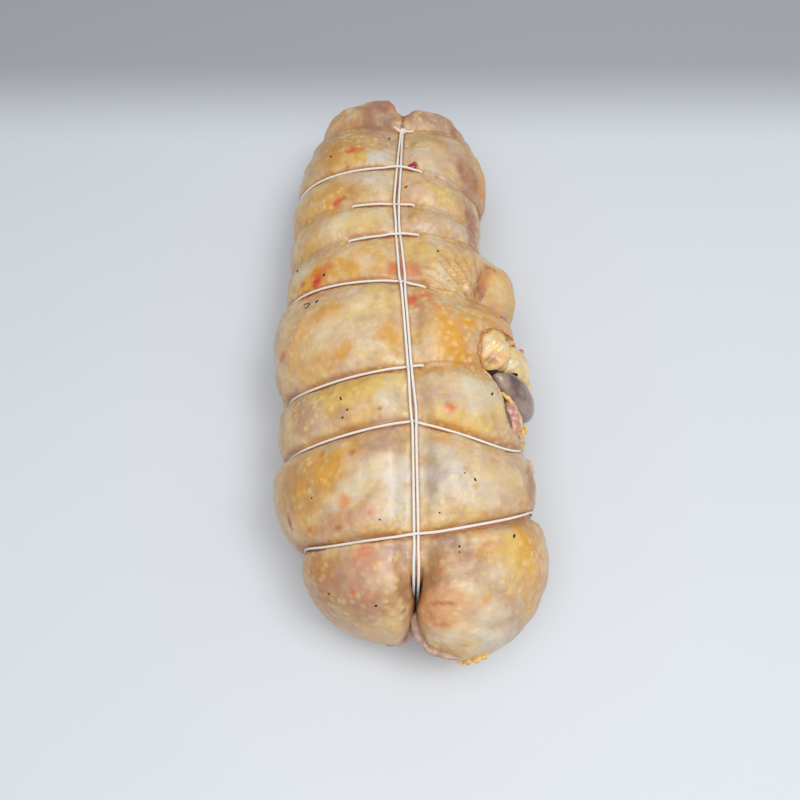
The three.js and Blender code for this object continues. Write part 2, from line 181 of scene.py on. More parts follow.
# Stains and zones of the skin: colour, x, y, half length, half width, turn in degrees,
# strength. Places are seen from above.
ZONES = [
    # far lobes
    ("grey mauve", -14, 120, 15, 11, 20, 0.9),
    ("purple", -13, 131, 16, 7, 5, 0.75),
    ("salmon", -3, 131, 6, 7, -20, 0.7),
    ("grey mauve", 17, 121, 22, 12, 0, 0.5),
    ("tan", 17, 124, 20, 9, 0, 0.65),
    ("tan", -27, 119, 14, 10, 30, 0.6),
    ("ochre", -30, 112, 14, 4, 25, 0.45),
    ("mauve", 19, 122, 15, 8, -10, 0.55),
    ("brown", 27, 117, 3, 6, 25, 0.45),
    ("yellow", 12, 116, 8, 4, 0, 0.3),
    ("grey mauve", 18, 119, 18, 10, 0, 0.5),
    ("grey mauve", -24, 114, 8, 7, 0, 0.3),
    ("rose", 10, 127, 6, 5, 0, 0.4),
    # first to second loop
    ("mauve", -9, 103, 9, 11, 0, 0.75),
    ("ochre", -30, 96, 18, 13, 30, 0.75),
    ("golden", -36, 90, 8, 12, 20, 0.4),
    ("bluish", 12, 88, 16, 12, 0, 0.4),
    ("tan", -36, 97, 8, 20, 10, 0.5),
    ("bluish", -12, 84, 8, 6, 10, 0.85),
    ("yellow", -22, 86, 9, 5, 10, 0.7),
    ("mauve", -38, 76, 5, 6, 10, 0.6),
    ("tan", 12, 104, 12, 6, 0, 0.45),
    ("ochre", 12, 96, 13, 5, 0, 0.45),
    ("mauve", 26, 92, 9, 12, 0, 0.5),
    ("rose", 12, 84, 12, 6, 0, 0.25),
    ("purple", 33, 80, 8, 12, 15, 0.8),
    ("mauve", 31, 73, 8, 5, -10, 0.7),
    ("golden", 42, 88, 4, 18, 0, 0.7),
    ("orange", 41, 82, 3, 9, 0, 0.35),
    ("ochre", 41, 98, 5, 5, 0, 0.7),
    ("ochre", -36, 83, 7, 8, 20, 0.3),
    # second to third loop
    ("ochre", -34, 62, 15, 10, 15, 0.75),
    ("golden", -38, 58, 10, 7, 20, 0.4),
    ("bluish", -11, 66, 11, 7, 0, 0.5),
    ("tan", -23, 62, 4, 7, 0, 0.55),
    ("ochre", -22, 61, 7, 5, 0, 0.35),
    ("mauve", -15, 67, 12, 3, 0, 0.3),
    ("rose", 5, 62, 7, 8, 0, 0.5),
    ("bluish", 4, 60, 6, 5, 0, 0.3),
    ("yellow", 18, 62, 8, 6, 0, 0.3),
    ("tan", 28, 62, 4, 10, 20, 0.5),
    ("mauve", 18, 42, 18, 8, 0, 0.4),
    ("purple", 33, 58, 4, 9, 10, 0.75),
    ("bluish", -16, 70, 8, 6, 0, 0.45),
    ("bluish", 18, 73, 8, 6, 0, 0.4),
    # third to fourth loop
    ("pale", -27, 43, 17, 8, 10, 0.5),
    ("pale", -8, 43, 12, 6, 0, 0.3),
    ("ochre", -44, 40, 6, 13, 10, 0.5),
    ("yellow", -20, 42, 14, 6, 0, 0.35),
    ("bluish", 24, 43, 8, 5, 0, 0.3),
    ("ochre", 6, 47, 6, 4, 0, 0.6),
    ("tan", 14, 50, 14, 3, 0, 0.4),
    ("purple", 33, 47, 4, 12, 5, 0.75),
    ("yellow", 38, 46, 2, 9, 0, 0.7),
    ("peach", -38, 51, 8, 6, 0, 0.4),
    ("bluish", 18, 51, 8, 5, 0, 0.4),
    # fourth to fifth loop
    ("golden", -41, 12, 9, 9, 20, 0.85),
    ("orange", -37, 16, 6, 6, 0, 0.75),
    ("orange", -43, 7, 8, 4, 0, 0.6),
    ("bluish", -46, 22, 5, 3, 50, 0.4),
    ("ochre", -24, 24, 14, 7, 10, 0.45),
    ("golden", -17, 16, 18, 8, 0, 0.55),
    ("pale", -28, 26, 12, 6, 10, 0.4),
    ("pale", 16, 16, 14, 9, -10, 0.35),
    ("pale", -16, 18, 6, 4, -30, 0.5),
    ("yellow", 10, 20, 10, 8, 0, 0.5),
    ("golden", 24, 16, 12, 10, 0, 0.35),
    ("yellow", 22, 24, 10, 5, -10, 0.4),
    ("purple", 35, 10, 4, 7, 0, 0.75),
    ("mauve", 33, 14, 5, 8, 0, 0.45),
    ("peach", 47, 14, 13, 14, 0, 0.9),
    ("yellow", 48, 12, 10, 10, 0, 0.5),
    ("rust", 40, 23, 5, 1.7, -20, 0.75),
    ("pale", 44, 13, 6, 7, 0, 0.3),
    # fifth to sixth loop
    ("ochre", -34, -8, 12, 5, 20, 0.75),
    ("golden", -33, -6, 8, 3, 20, 0.4),
    ("peach", -44, -20, 6, 18, 5, 0.4),
    ("peach", -40, -20, 16, 20, 0, 0.6),
    ("golden", -34, -26, 12, 10, 20, 0.15),
    ("yellow", -38, -22, 9, 10, 0, 0.4),
    ("pale", -38, -20, 7, 8, 0, 0.4),
    ("pale", -18, -14, 14, 14, 0, 0.5),
    ("yellow", -15, -8, 12, 8, 0, 0.4),
    ("mauve", -13, -14, 9, 4, 0, 0.4),
    ("pale", -12, -20, 5, 5, 0, 0.6),
    ("pale", -11, -27, 9, 3, 0, 0.6),
    ("mauve", -16, -33, 9, 3, 0, 0.4),
    ("golden", -25, -28, 6, 4, 25, 0.65),
    ("golden", -7, -21, 6, 4, 20, 0.55),
    ("golden", -3, -25, 4, 6, 0, 0.4),
    ("ochre", -19, -4.5, 3, 2, 0, 0.55),
    ("ochre", -14, -7, 2.5, 2, 0, 0.45),
    ("golden", 19, -20, 13, 14, 5, 0.6),
    ("golden", -6, -21, 7, 8, 0, 0.4),
    ("golden", 20, -24, 5, 10, 5, 0.9),
    ("golden", 17, -16, 7, 3, -35, 0.75),
    ("golden", 27, -13, 5, 4, -20, 0.85),
    ("golden", 23, -30, 3, 6, 0, 0.8),
    ("peach", 40, -6, 14, 9, -20, 0.8),
    ("rose", 25, -20, 2.5, 8, 20, 0.5),
    ("pale", 11, -26, 5, 8, 0, 0.35),
    ("orange", 27, -29, 3, 5, 0, 0.45),
    ("pale", -33, -18, 9, 8, 0, 0.5),
    ("pale", -17, -5, 7, 5, 0, 0.5),
    ("peach", 46, -3, 13, 8, 0, 0.8),
    ("golden", 40, -9, 7, 3, -15, 0.6),
    # sixth to seventh loop
    ("mauve", -28, -57, 14, 5, 20, 0.4),
    ("yellow", -20, -46, 20, 8, 15, 0.8),
    ("golden", -22, -44, 12, 4, 15, 0.3),
    ("bluish", -6, -50, 7, 9, 0, 0.55),
    ("pale", 17, -47, 14, 8, 0, 0.45),
    ("bluish", 31, -47, 12, 12, 0, 0.65),
    ("bluish", 17, -49, 9, 5, 0, 0.4),
    ("tan", -43, -50, 6, 16, 15, 0.6),
    ("mauve", 12, -50, 9, 5, 0, 0.6),
    ("yellow", 22, -58.5, 16, 5.5, -15, 0.7),
    ("rose", 17, -48, 10, 6, 0, 0.3),
    ("golden", 17, -62, 9, 4, 0, 0.6),
    ("golden", 24, -64, 12, 2, -12, 0.55),
    ("yellow", 34, -52, 8, 9, 0, 0.3),
    ("tan", 8, -38, 12, 3, 0, 0.3),
    ("ochre", 8, -37.5, 34, 2, 0, 0.5),
    ("fascia", 38, -40, 3.5, 9, 20, 0.4),
    ("mauve", -39, -55, 7, 8, 0, 0.6),
    ("ochre", -20, -47, 9, 6, 15, 0.35),
    ("yellow", -6, -45, 7, 5, 0, 0.4),
    ("pale", 32, -47, 10, 8, 0, 0.5),
    # seventh to eighth loop
    ("ochre", -36, -80, 14, 14, 20, 0.8),
    ("tan", -40, -84, 9, 14, 10, 0.4),
    ("golden", -26, -77, 13, 7, 20, 0.6),
    ("golden", -22, -72, 6, 7, -35, 0.4),
    ("ochre", -42, -88, 5, 12, 10, 0.4),
    ("tan", -46, -83, 5, 20, 0, 0.4),
    ("pale", -5, -80, 8, 12, 0, 0.75),
    ("bluish", -18, -82, 9, 10, 0, 0.45),
    ("bluish", 13, -82, 9, 14, 0, 0.6),
    ("bluish", -1, -86, 8, 15, 0, 0.7),
    ("grey mauve", -8, -69, 12, 7, 10, 0.55),
    ("bluish", 26, -82, 22, 12, 0, 0.45),
    ("mauve", -8, -98, 12, 5, 0, 0.35),
    ("bluish", -4, -96, 8, 5, 0, 0.4),
    ("mauve", -15, -76, 5, 4, 0, 0.35),
    ("rose", -22, -98, 20, 4, 15, 0.55),
    ("tan", -30, -99, 16, 4, 15, 0.4),
    ("grey mauve", 12, -82, 9, 14, 0, 0.6),
    ("bluish", 12, -72, 12, 4, -20, 0.3),
    ("rose", 24, -72, 14, 5, -15, 0.25),
    ("mauve", 45, -73, 9, 5, -30, 0.6),
    ("purple", 52, -80, 3, 12, 0, 0.65),
    ("pale", 30, -92, 8, 6, 0, 0.3),
    ("ochre", -24, -79, 9, 6, 0, 0.3),
    ("mauve", -9, -71, 11, 6, 0, 0.3),
    ("bluish", -4, -88, 7, 9, 0, 0.25),
    ("bluish", 15, -84, 11, 9, 0, 0.3),
    ("bluish", 45, -80, 6, 8, 0, 0.2),
    ("yellow", 30, -80, 7, 6, 0, 0.3),
    # near lobes
    ("tan", -20, -122, 22, 14, 10, 0.6),
    ("rust", -33, -116, 8, 10, 15, 0.5),
    ("mauve", -20, -118, 16, 8, 15, 0.6),
    ("grey mauve", -14, -122, 16, 8, 10, 0.45),
    ("grey mauve", -14, -129, 11, 5, 0, 0.45),
    ("rose", -10, -115, 11, 12, 0, 0.7),
    ("pale", -9, -121, 7, 6, 0, 0.4),
    ("bluish", -4, -110, 7, 4, 0, 0.4),
    ("salmon", -16, -111, 5, 3, 20, 0.75),
    ("mauve", 0, -109, 4, 5, 0, 0.5),
    ("brown", 0, -124, 3.5, 8, 0, 0.6),
    ("ochre", -30, -106, 8, 2, 10, 0.5),
    ("grey mauve", 16, -109, 14, 7, 10, 0.75),
    ("brown", 11, -119, 7, 7, 0, 0.65),
    ("tan", 20, -117, 16, 9, 0, 0.6),
    ("grey mauve", 30, -118, 12, 8, 0, 0.5),
    ("pale", 24, -132, 20, 12, -10, 0.9),
    ("bluish", 34, -136, 17, 7, -22, 0.7),
    ("peach", 14, -130, 12, 8, -10, 0.5),
    ("salmon", 12, -130, 9, 7, -10, 0.5),
    ("peach", 24, -129, 10, 8, 0, 0.6),
    ("rose", 12, -136, 6, 3, 0, 0.5),
    ("mauve", 40, -130, 16, 7, -35, 0.5),
    ("grey mauve", 44, -136, 10, 5, -35, 0.35),
    ("golden", 47, -105, 6, 10, 5, 0.85),
    ("yellow", 43, -110, 9, 9, 0, 0.8),
    ("ochre", 35, -108, 9, 6, 0, 0.4),
    ("mauve", 33, -133, 18, 3, -20, 0.5),
    ("salmon", 53, -112, 3, 12, 10, 0.5),
    ("pale", 32, -117, 10, 6, 0, 0.35),
    ("rust", -29, -119, 7, 8, 0, 0.3),
    ("salmon", -13, -127, 9, 5, 0, 0.3),
    ("grey mauve", -3, -112, 6, 6, 0, 0.4),
    ("golden", 47, -111, 6, 9, 0, 0.5),
    ("pale", 36, -134, 12, 6, -20, 0.5),
    ("pale", 13, -138, 7, 3, 0, 0.35),
]
# Small marks: colour, x, y, half length, half width, turn, strength
MARKS = [
    ("blood", 4.3, 78.6, 3, 1.9, 0, 1),
    ("scarlet", 5.2, 79.4, 1.5, 0.9, 0, 0.7),
    ("blood", -1, 87.5, 0.7, 3, 10, 0.75),
    ("blood", 1.4, 63.6, 1, 0.8, 20, 1),
    ("scarlet", 16, 73.6, 2.2, 0.8, -30, 0.6),
    ("yellow", -24, 86.5, 7, 4, 0, 0.65),
    ("scarlet", -25, 91, 3.6, 2.8, 0, 0.95),
    ("orange", -23.5, 90.4, 5.5, 4, 0, 0.7),
    ("golden", -22.7, 84, 1.2, 4.5, 8, 0.8),
    ("orange", -27.3, 79.4, 1.3, 1.2, 0, 0.8),
    ("scarlet", -31.5, 57.3, 2.2, 2.4, 0, 0.9),
    ("rust", -28.5, 58.2, 3.5, 1.4, 25, 0.8),
    ("scarlet", -39, 13.4, 2.6, 3.4, 0, 1),
    ("scarlet", -45.5, 14.5, 1.8, 1.2, 0, 0.6),
    ("scarlet", -3.5, 15, 5, 5, 0, 0.5),
    ("salmon", 3.5, 14, 4.5, 5.5, 0, 0.75),
    ("salmon", 7.5, -1.2, 7, 3.4, 0, 0.95),
    ("scarlet", 3.4, -3.4, 3, 3.6, 0, 0.6),
    ("orange", 6.6, -7.2, 3, 1.1, -35, 0.6),
    ("orange", 13, -7.8, 5, 1.2, -35, 0.5),
    ("scarlet", -52.9, -21, 2, 2.6, 0, 0.6),
    ("golden", 23.4, -24, 1.4, 6, 0, 0.8),
    ("salmon", 18.4, -55.4, 3.6, 2.2, 0, 1),
    ("orange", 19, -54.8, 2.2, 1.6, 0, 0.7),
    ("yellow", 14, -58, 2.4, 1.2, -40, 0.8),
    ("rust", -20.2, -72.7, 1.6, 1.6, 0, 0.7),
    ("rust", -32.4, -71, 1.6, 1.8, 0, 0.55),
    ("orange", -22.8, -91.4, 3.2, 3.4, 30, 0.65),
    ("orange", -12.4, -96.8, 2.8, 1.1, 5, 0.6),
    ("orange", -36.8, -99.6, 1.7, 1.5, 0, 0.75),
    ("ochre", -41.8, -86, 2.2, 4, 0, 0.75),
    ("rust", -25, -101.2, 2.2, 1.3, 0, 0.65),
    ("rust", -45.6, -94.7, 0.9, 4.2, 18, 0.95),
    ("orange", -19.6, -124, 1.8, 1.5, 0, 0.7),
    ("orange", -44.5, -50.3, 1.4, 1.8, 0, 0.55),
    ("rust", -9.5, -55.5, 1.4, 0.9, 0, 0.85),
    ("orange", -9.6, -57.8, 0.9, 0.6, 0, 0.6),
    ("yellow", 15.5, -48.8, 2.6, 0.9, 0, 0.7),
    ("yellow", 24, -52.5, 2.4, 1.3, 0, 0.6),
    ("yellow", -10.4, -75.8, 1.2, 0.8, 0, 0.8),
    ("yellow", -11, -85.5, 1, 0.8, 0, 0.7),
    ("golden", 1.6, -85.4, 1.7, 1, 0, 0.75),
    ("golden", -7.5, -92.2, 1.6, 1, 0, 0.5),
    ("rust", 25.9, 118.8, 1.2, 2.8, 20, 0.4),
    ("ochre", 24, -80, 1.6, 1.3, 0, 0.7),
    ("ochre", 27.5, -86, 1.8, 1.4, 0, 0.6),
    ("golden", 31, -127, 2.4, 1.8, 0, 0.6),
    ("orange", 15.5, -135, 6, 1, 0, 0.5),
    ("rust", 14, -128.4, 7, 0.7, -3, 0.6),
    ("scarlet", 13.5, -117.5, 1, 0.8, 0, 0.5),
]
# Marks of the bare pieces, likewise, by piece
FLESH_MARKS = {
    "fat_pad": [
        ("pale", 36, -20, 4, 5, 0, 0.8),
        ("ochre", 36, -13, 5, 2.4, 30, 0.7),
        ("bluish", 43, -20, 2.5, 4, 20, 0.6),
        ("rose", 40, -25.4, 5, 2.6, 10, 1),
        ("purple", 37, -27.6, 4, 1.8, 0, 1),
        ("blood", 36.4, -27.2, 1.8, 0.9, 20, 0.8),
    ],
    "fat_fold": [
        ("pale", 47, -21, 4, 4, 0, 0.6),
        ("bluish", 45, -26, 4, 2, 20, 0.6),
        ("ochre", 52, -17, 3, 3, 0, 0.5),
        ("ochre", 53, -27, 3, 4, 0, 0.4),
        ("cream", 50, -24, 4, 3, 0, 0.5),
    ],
    "thigh": [
        ("fascia", 42.5, -34.5, 4, 4, 20, 0.7),
        # painted highlight: a small cream glint on the muscle
        ("cream", 42, -33.5, 1.6, 1.4, 0, 0.6),
        ("fascia", 45, -39, 4, 2.5, 30, 0.6),
        ("dark", 50, -34.6, 7, 4.6, -35, 0.5),
        ("fascia", 50, -42, 5, 3, 0, 0.5),
    ],
    "strip": [
        ("dark", 44, -41, 2, 3, 0, 0.4), ("rose", 45, -47, 2, 4, 0, 0.5),
        ("peach", 47, -55, 3, 3, 0, 0.6),
    ],
}
# Stubs of pin feathers: x, y, length, width, turn in degrees
QUILLS = [
    (-7.1, 104.8, 3, 0.8, 75),
    (-35.5, 90.6, 1.3, 1.1, 0),
    (15.4, 23.1, 1.3, 1.1, 0),
    (-49.1, 24.7, 1.8, 1.2, 60),
    (-35.7, 14.4, 1.6, 1.1, 50),
    (-37.6, -0.2, 2, 1, 35),
    (-25.7, -49.5, 2, 0.8, 110),
    (-23.1, -54.5, 1, 0.9, 0),
    (-24.7, -57.2, 1, 0.9, 20),
    (36.9, -44.1, 1.9, 0.9, 60),
    (-36.3, -88.8, 0.7, 0.7, 0),
    (-8.7, -99.3, 0.8, 0.7, 0),
    (26.9, -83.9, 1.6, 0.8, -60),
    (20.6, -108.7, 1, 1, 0),
    (21, -111, 0.8, 0.6, 0),
    (42.8, -103.3, 1.8, 1, 70),
    (-28.9, -122.6, 0.8, 0.8, 0),
    (-10.6, -129.3, 1.3, 0.9, 30),
    (13.6, -96.5, 0.8, 0.6, 0),
    (23.4, -81.6, 0.7, 0.6, 0),
]
# Painted shade: dark blobs that fill the gaps between the fat and the muscle: half sizes, middle
SHADE_BLOBS = (((2.1, 1.5, 0.9), (38.4, -30.5, 56.4)), ((2, 1.3, 1.2), (48.6, -27.6, 48)))
# Folds and hollows of the skin: x and y along their line, half width, height outwards
FOLDS = [
    ([(1.2, 140), (1, 131), (0.2, 124)], 3.2, -6.5),
    ([(-36, 122), (-24, 128), (-10, 124), (-2, 118)], 1.6, 0.5),
    ([(-38, 115), (-26, 121), (-10, 117), (-3, 112)], 1.2, -0.5),
    ([(-38, 110), (-24, 115), (-8, 111)], 1.4, 0.4),
    ([(-34, 104), (-20, 109), (-6, 105)], 1.2, -0.3),
    ([(6, 107), (16, 107), (27, 103)], 1.2, 0.35),
    ([(5, 102), (16, 103), (24, 100)], 1.1, -0.35),
    ([(5, 97), (14, 98), (24, 95)], 1.3, 0.3),
    ([(28, 96), (30, 86), (31, 77)], 2.2, -0.7),
    ([(40, 25), (37, 17), (35, 9), (32, 1)], 2.0, -2.7),
    ([(45, 29), (47, 20), (46, 12)], 6, 1.6),
    ([(40, 41), (44, 40), (50, 39)], 2.4, -1.8),
    ([(54, 4), (49, 0), (44, -4)], 3.4, 1.2),
    ([(54, -7), (56, -16)], 5, 2.2),
    ([(40, 97), (41, 88), (39, 77)], 3.4, 0.9),
    ([(32, 0), (27, -3), (22, -4)], 1.3, -0.5),
    ([(27, 18), (30, 11), (32, 4)], 0.8, -0.5),
    ([(29, 20), (32, 12), (33, 5)], 0.8, 0.45),
    ([(24, 15), (28, 9), (31.5, 3)], 0.8, 0.45),
    ([(22, 12), (26.5, 7), (31, 2)], 0.8, -0.45),
    ([(19, 8), (25, 5), (30, 1.5)], 0.8, 0.35),
    ([(48, 2), (36, -5), (26, -6)], 1.6, 0.5),
    ([(50, -4), (38, -9), (28, -9)], 1.3, -0.4),
    ([(26, -36), (30, -44), (30, -54)], 3, 0.4),
    ([(33, -37), (37, -47), (38, -60)], 1.2, -0.35),
    ([(8, -121.5), (16, -121.5), (22, -120)], 1, -0.6),
    ([(7, -124), (15, -124.5), (24, -123)], 1.1, 0.5),
    ([(8, -128.5), (16, -129), (23, -127)], 0.9, -0.5),
    ([(10, -134), (18, -134.5), (26, -133)], 0.9, -0.4),
    ([(15, -136), (19, -137), (24, -136.4)], 0.8, 0.4),
    ([(6.4, -127), (8.6, -131), (11, -133.6), (15, -136), (20, -137.8)], 0.8, -0.9),
    ([(-12, -130), (-6, -127), (-2, -122)], 1, 0.5),
    ([(-10, -132), (-4, -129), (0, -124)], 0.9, -0.6),
    ([(24, -134), (34, -136), (44, -131)], 1.4, -0.5),
    ([(22, -137), (33, -139), (46, -133)], 1.2, 0.5),
]

# ---- Numbers and shapes ----------------------------------------------------------------


def mix(a, b, t):
    """The value a share t of the way from a to b."""
    return a + (b - a) * t


def eased(t):
    """0 below 0, 1 above 1, and 3t² − 2t³ between."""
    t = np.clip(t, 0, 1)
    return t * t * (3 - 2 * t)


def arch(share, power):
    """The height of a superellipse: (1 − |share|^power)^(1/power)."""
    return np.clip(1 - np.abs(share) ** power, 0, None) ** (1 / power)


def beside_crease(distance, slope, floor=CREASE_FLOOR):
    """0 on the crease's floor, and 1 − exp(−(way past it / slope)²) beside it."""
    return 1 - np.exp(-((np.clip(np.abs(distance) - floor, 0, None) / slope) ** 2))


def shutting(y):
    """0 where the crease on top lies open, 1 past the knot, where it closes."""
    return eased((y - 115.5) / 4)


def waves(points, size, seed, count=10):
    """Smooth noise: the sum of `count` sine waves in random directions, with lengths of
    0.7 to 1.4 times `size`, over the square root of half their number."""
    random = np.random.default_rng(seed)
    ways = random.normal(size=(count, 3))
    ways /= np.linalg.norm(ways, axis=1)[:, None] * size * random.uniform(0.7, 1.4, (count, 1))
    phases = random.uniform(0, 2 * np.pi, count)
    return np.sin(points @ (2 * np.pi * ways.T) + phases).sum(-1) / math.sqrt(count / 2)


def line_distance(places, line):
    """Distance of each place from a line of points, the least over its pieces, and how
    far along the line the nearest point lies, from 0 to 1."""
    line = np.asarray(line, float)
    best = np.full(len(places), 1e9)
    along = np.zeros(len(places))
    for at, (a, b) in enumerate(zip(line[:-1], line[1:])):
        way = b - a
        share = np.clip((places - a) @ way / (way @ way), 0, 1)
        far = np.linalg.norm(places - a - share[:, None] * way, axis=1)
        nearer = far < best
        best = np.where(nearer, far, best)
        along = np.where(nearer, (at + share) / (len(line) - 1), along)
    return best, along


def smooth_line(points, count):
    """`count` points on the Catmull-Rom curve through the given points."""
    points = np.asarray(points, float)
    ends = np.vstack([2 * points[0] - points[1], points, 2 * points[-1] - points[-2]])
    place = np.linspace(0, len(points) - 1, count)
    at = np.clip(place.astype(int), 0, len(points) - 2)
    t = (place - at)[:, None]
    a, b, c, d = (ends[at + k] for k in range(4))
    return 0.5 * (
        2 * b
        + (c - a) * t
        + (2 * a - 5 * b + 4 * c - d) * t**2
        + (3 * b - a - 3 * c + d) * t**3
    )


def face_normals(points, faces):
    """Unit vertex normals: the sum of the cross products of the faces' diagonals."""
    normals = np.zeros_like(points)
    for size in {len(f) for f in faces}:
        group = np.array([f for f in faces if len(f) == size])
        a, b, c, d = (points[group[:, k]] for k in (0, size // 4 + (size > 3), size // 2, -1))
        if size == 3:
            b, c, d = points[group[:, 1]], points[group[:, 2]], points[group[:, 0]]
            cross = np.cross(b - a, c - a)
        else:
            cross = np.cross(c - a, d - b)
        for corner in range(size):
            np.add.at(normals, group[:, corner], cross)
    return normals / np.maximum(np.linalg.norm(normals, axis=1), 1e-12)[:, None]


def quads(a, b, c, d):
    """Faces of four corners each, from four equal arrays of corner numbers."""
    return np.stack([a, b, c, d], -1).reshape(-1, 4).tolist()


def capped(rows, columns):
    """Faces of a grid of points that closes round its columns, and whose first and last
    rows run together in two points, numbered after the grid's own."""
    ids = np.arange(rows * columns).reshape(rows, columns)
    beside = np.roll(ids, -1, 1)
    first, last = rows * columns, rows * columns + 1
    faces = quads(ids[:-1], ids[1:], beside[1:], beside[:-1])
    faces += [[first, int(a), int(b)] for a, b in zip(ids[0], beside[0])]
    faces += [[last, int(b), int(a)] for a, b in zip(ids[-1], beside[-1])]
    return faces


def to_metres(points):
    """Millimetres in the ribs' numbers to metres in the frame."""
    return (np.asarray(points) - (0, MIDDLE, 0)) * 0.001


# ---- The skin's surface ----------------------------------------------------------------


def rib_y(rib, share, upper):
    """A rib's y: its middle's plus |share|^1.15 of the way to its side's, and over the
    top its bend times |share|^0.8 (1 − share^6)."""
    side = np.where(share < 0, rib[..., LEFT], rib[..., RIGHT])
    middle = rib[..., TOP] if upper else (rib[..., LEFT] + rib[..., RIGHT]) / 2
    bend = np.where(share < 0, rib[..., BEND_LEFT], rib[..., BEND_RIGHT]) if upper else 0
    return mix(middle, side, np.abs(share) ** 1.15) + bend * np.abs(share) ** 0.8 * (1 - share**6)


def half_width(index, t, swell, share):
    """Half width of a section on the share's side: the two ribs' mix plus the swelling."""
    a, b = RIBS[index], RIBS[np.minimum(index + 1, LAST + 1)]
    bulge = SWELLS[np.minimum(index, LAST)]
    left = mix(a[..., HALF_LEFT], b[..., HALF_LEFT], t) + bulge[..., 0] * swell
    right = mix(a[..., HALF_RIGHT], b[..., HALF_RIGHT], t) + bulge[..., 1] * swell
    return np.where(share < 0, left, right)


def section(index, t, swell, share, upper):
    """A place on the section between ribs `index` and `index + 1`. The upper half is
    33 + (top − 33) (1 − |share|^2.05)^(1/2.05) high, with the crease sunk in it, and the
    lower half is an arch of power 2.7 that the board cuts off."""
    a, b = RIBS[index], RIBS[np.minimum(index + 1, LAST + 1)]
    bulge = SWELLS[np.minimum(index, LAST)]
    distance = half_width(index, t, swell, share) * share
    x = mix(a[..., CREASE], b[..., CREASE], t) * (1 - share**2) + distance
    y = mix(rib_y(a, share, upper), rib_y(b, share, upper), t)
    if upper:
        shut = shutting(y)
        beside = beside_crease(distance, mix(5, 0.4, shut), mix(CREASE_FLOOR, 0.1, shut))
        wide = np.sin(x / 11 + y / 23 + 0.7) * np.sin(y / 17 + 1.9)
        small = np.sin(x / 6.5 - y / 9 + 2.2) * np.sin(y / 7.5 + x / 21)
        rough = 0.9 * (wide + 0.5 * small) * swell * beside
        height = mix(a[..., HEIGHT], b[..., HEIGHT], t)
        top = height + bulge[..., 2] * swell * mix(mix(0.3, 0.85, shut), 1, beside) + rough
        z = mix(WIDEST, top, arch(share, TOP_POWER))
    else:
        floor = 2.4 * (1 - beside_crease(distance, 2))
        z = np.maximum(
            mix(WIDEST, 4.3 - 12 * swell, arch(share, UNDER_POWER)),
            np.where(floor < 0.01, 0, floor),
        )
    return np.stack(np.broadcast_arrays(x, y, z), -1)


def swelling(index, distance):
    """Length of a segment and the pillow's swelling at a distance past rib `index`."""
    length = RIBS[index, TOP] - RIBS[index + 1, TOP]
    first = np.where(index == 0, 0, GROOVE)
    last = np.where(index == LAST, 0, GROOVE)
    inside = np.clip((distance - first) / (length - first - last), 0, 1)
    across = np.where(index == 0, inside, np.where(index == LAST, inside - 1, 2 * inside - 1))
    return length, arch(across, SWELL_POWER)


def covered(index, x):
    """1 where the skin closes over loop `index`, 0 where its string shows, eased over
    2.5 mm at either end of each covered stretch."""
    found = np.zeros(np.broadcast(index, x).shape)
    for loop, spans in COVERED.items():
        for low, high in spans:
            inside = eased((x - low) / 2.5 + 0.5) * eased((high - x) / 2.5 + 0.5)
            found = np.maximum(found, np.where(index == loop, inside, 0))
    return found


def roll_point(index, distance, share, upper):
    """A place on the roll at a distance past rib `index`, and its depth in a fold. Where
    the skin closes over a string, the pillow's edge turns into 1 − |across|^2.3, its
    floor rises to a quarter of the swelling, and a ridge shows the string below."""
    length, swell = swelling(index, distance)
    t = distance / length
    if not upper:
        point = section(index, t, swell, share, False)
        return point, np.zeros(point.shape[:-1])
    x = section(index, t, swell, share, True)[..., 0]
    half = distance < length / 2
    cover = np.where(half, covered(index, x), covered(index + 1, x))
    before = np.where(index == 0, 1e3, distance)
    after = np.where(index == LAST, 1e3, length - distance)
    away = np.where(half, before, after)
    away = np.minimum(away, 1e3)
    soft = mix(0.26, 1, swell**SWELL_POWER) + 0.07 * np.exp(-((away / 0.9) ** 2))
    swell = mix(swell, soft, cover * (away < 500))
    # closeness to the string's groove: it flattens and puckers the skin there, and weighs the
    # groove's painted shade
    fold = np.exp(-((np.minimum(away, 50) / 1.7) ** 2)) * mix(1, 0.3, cover)
    return section(index, t, swell, share, True), fold


def reach_gain(end):
    """How fully an end's lobes close over its cleft, by how deep the cleft is."""
    return min(1, (min(end["reach"]) - end["cleft"]) / 10)


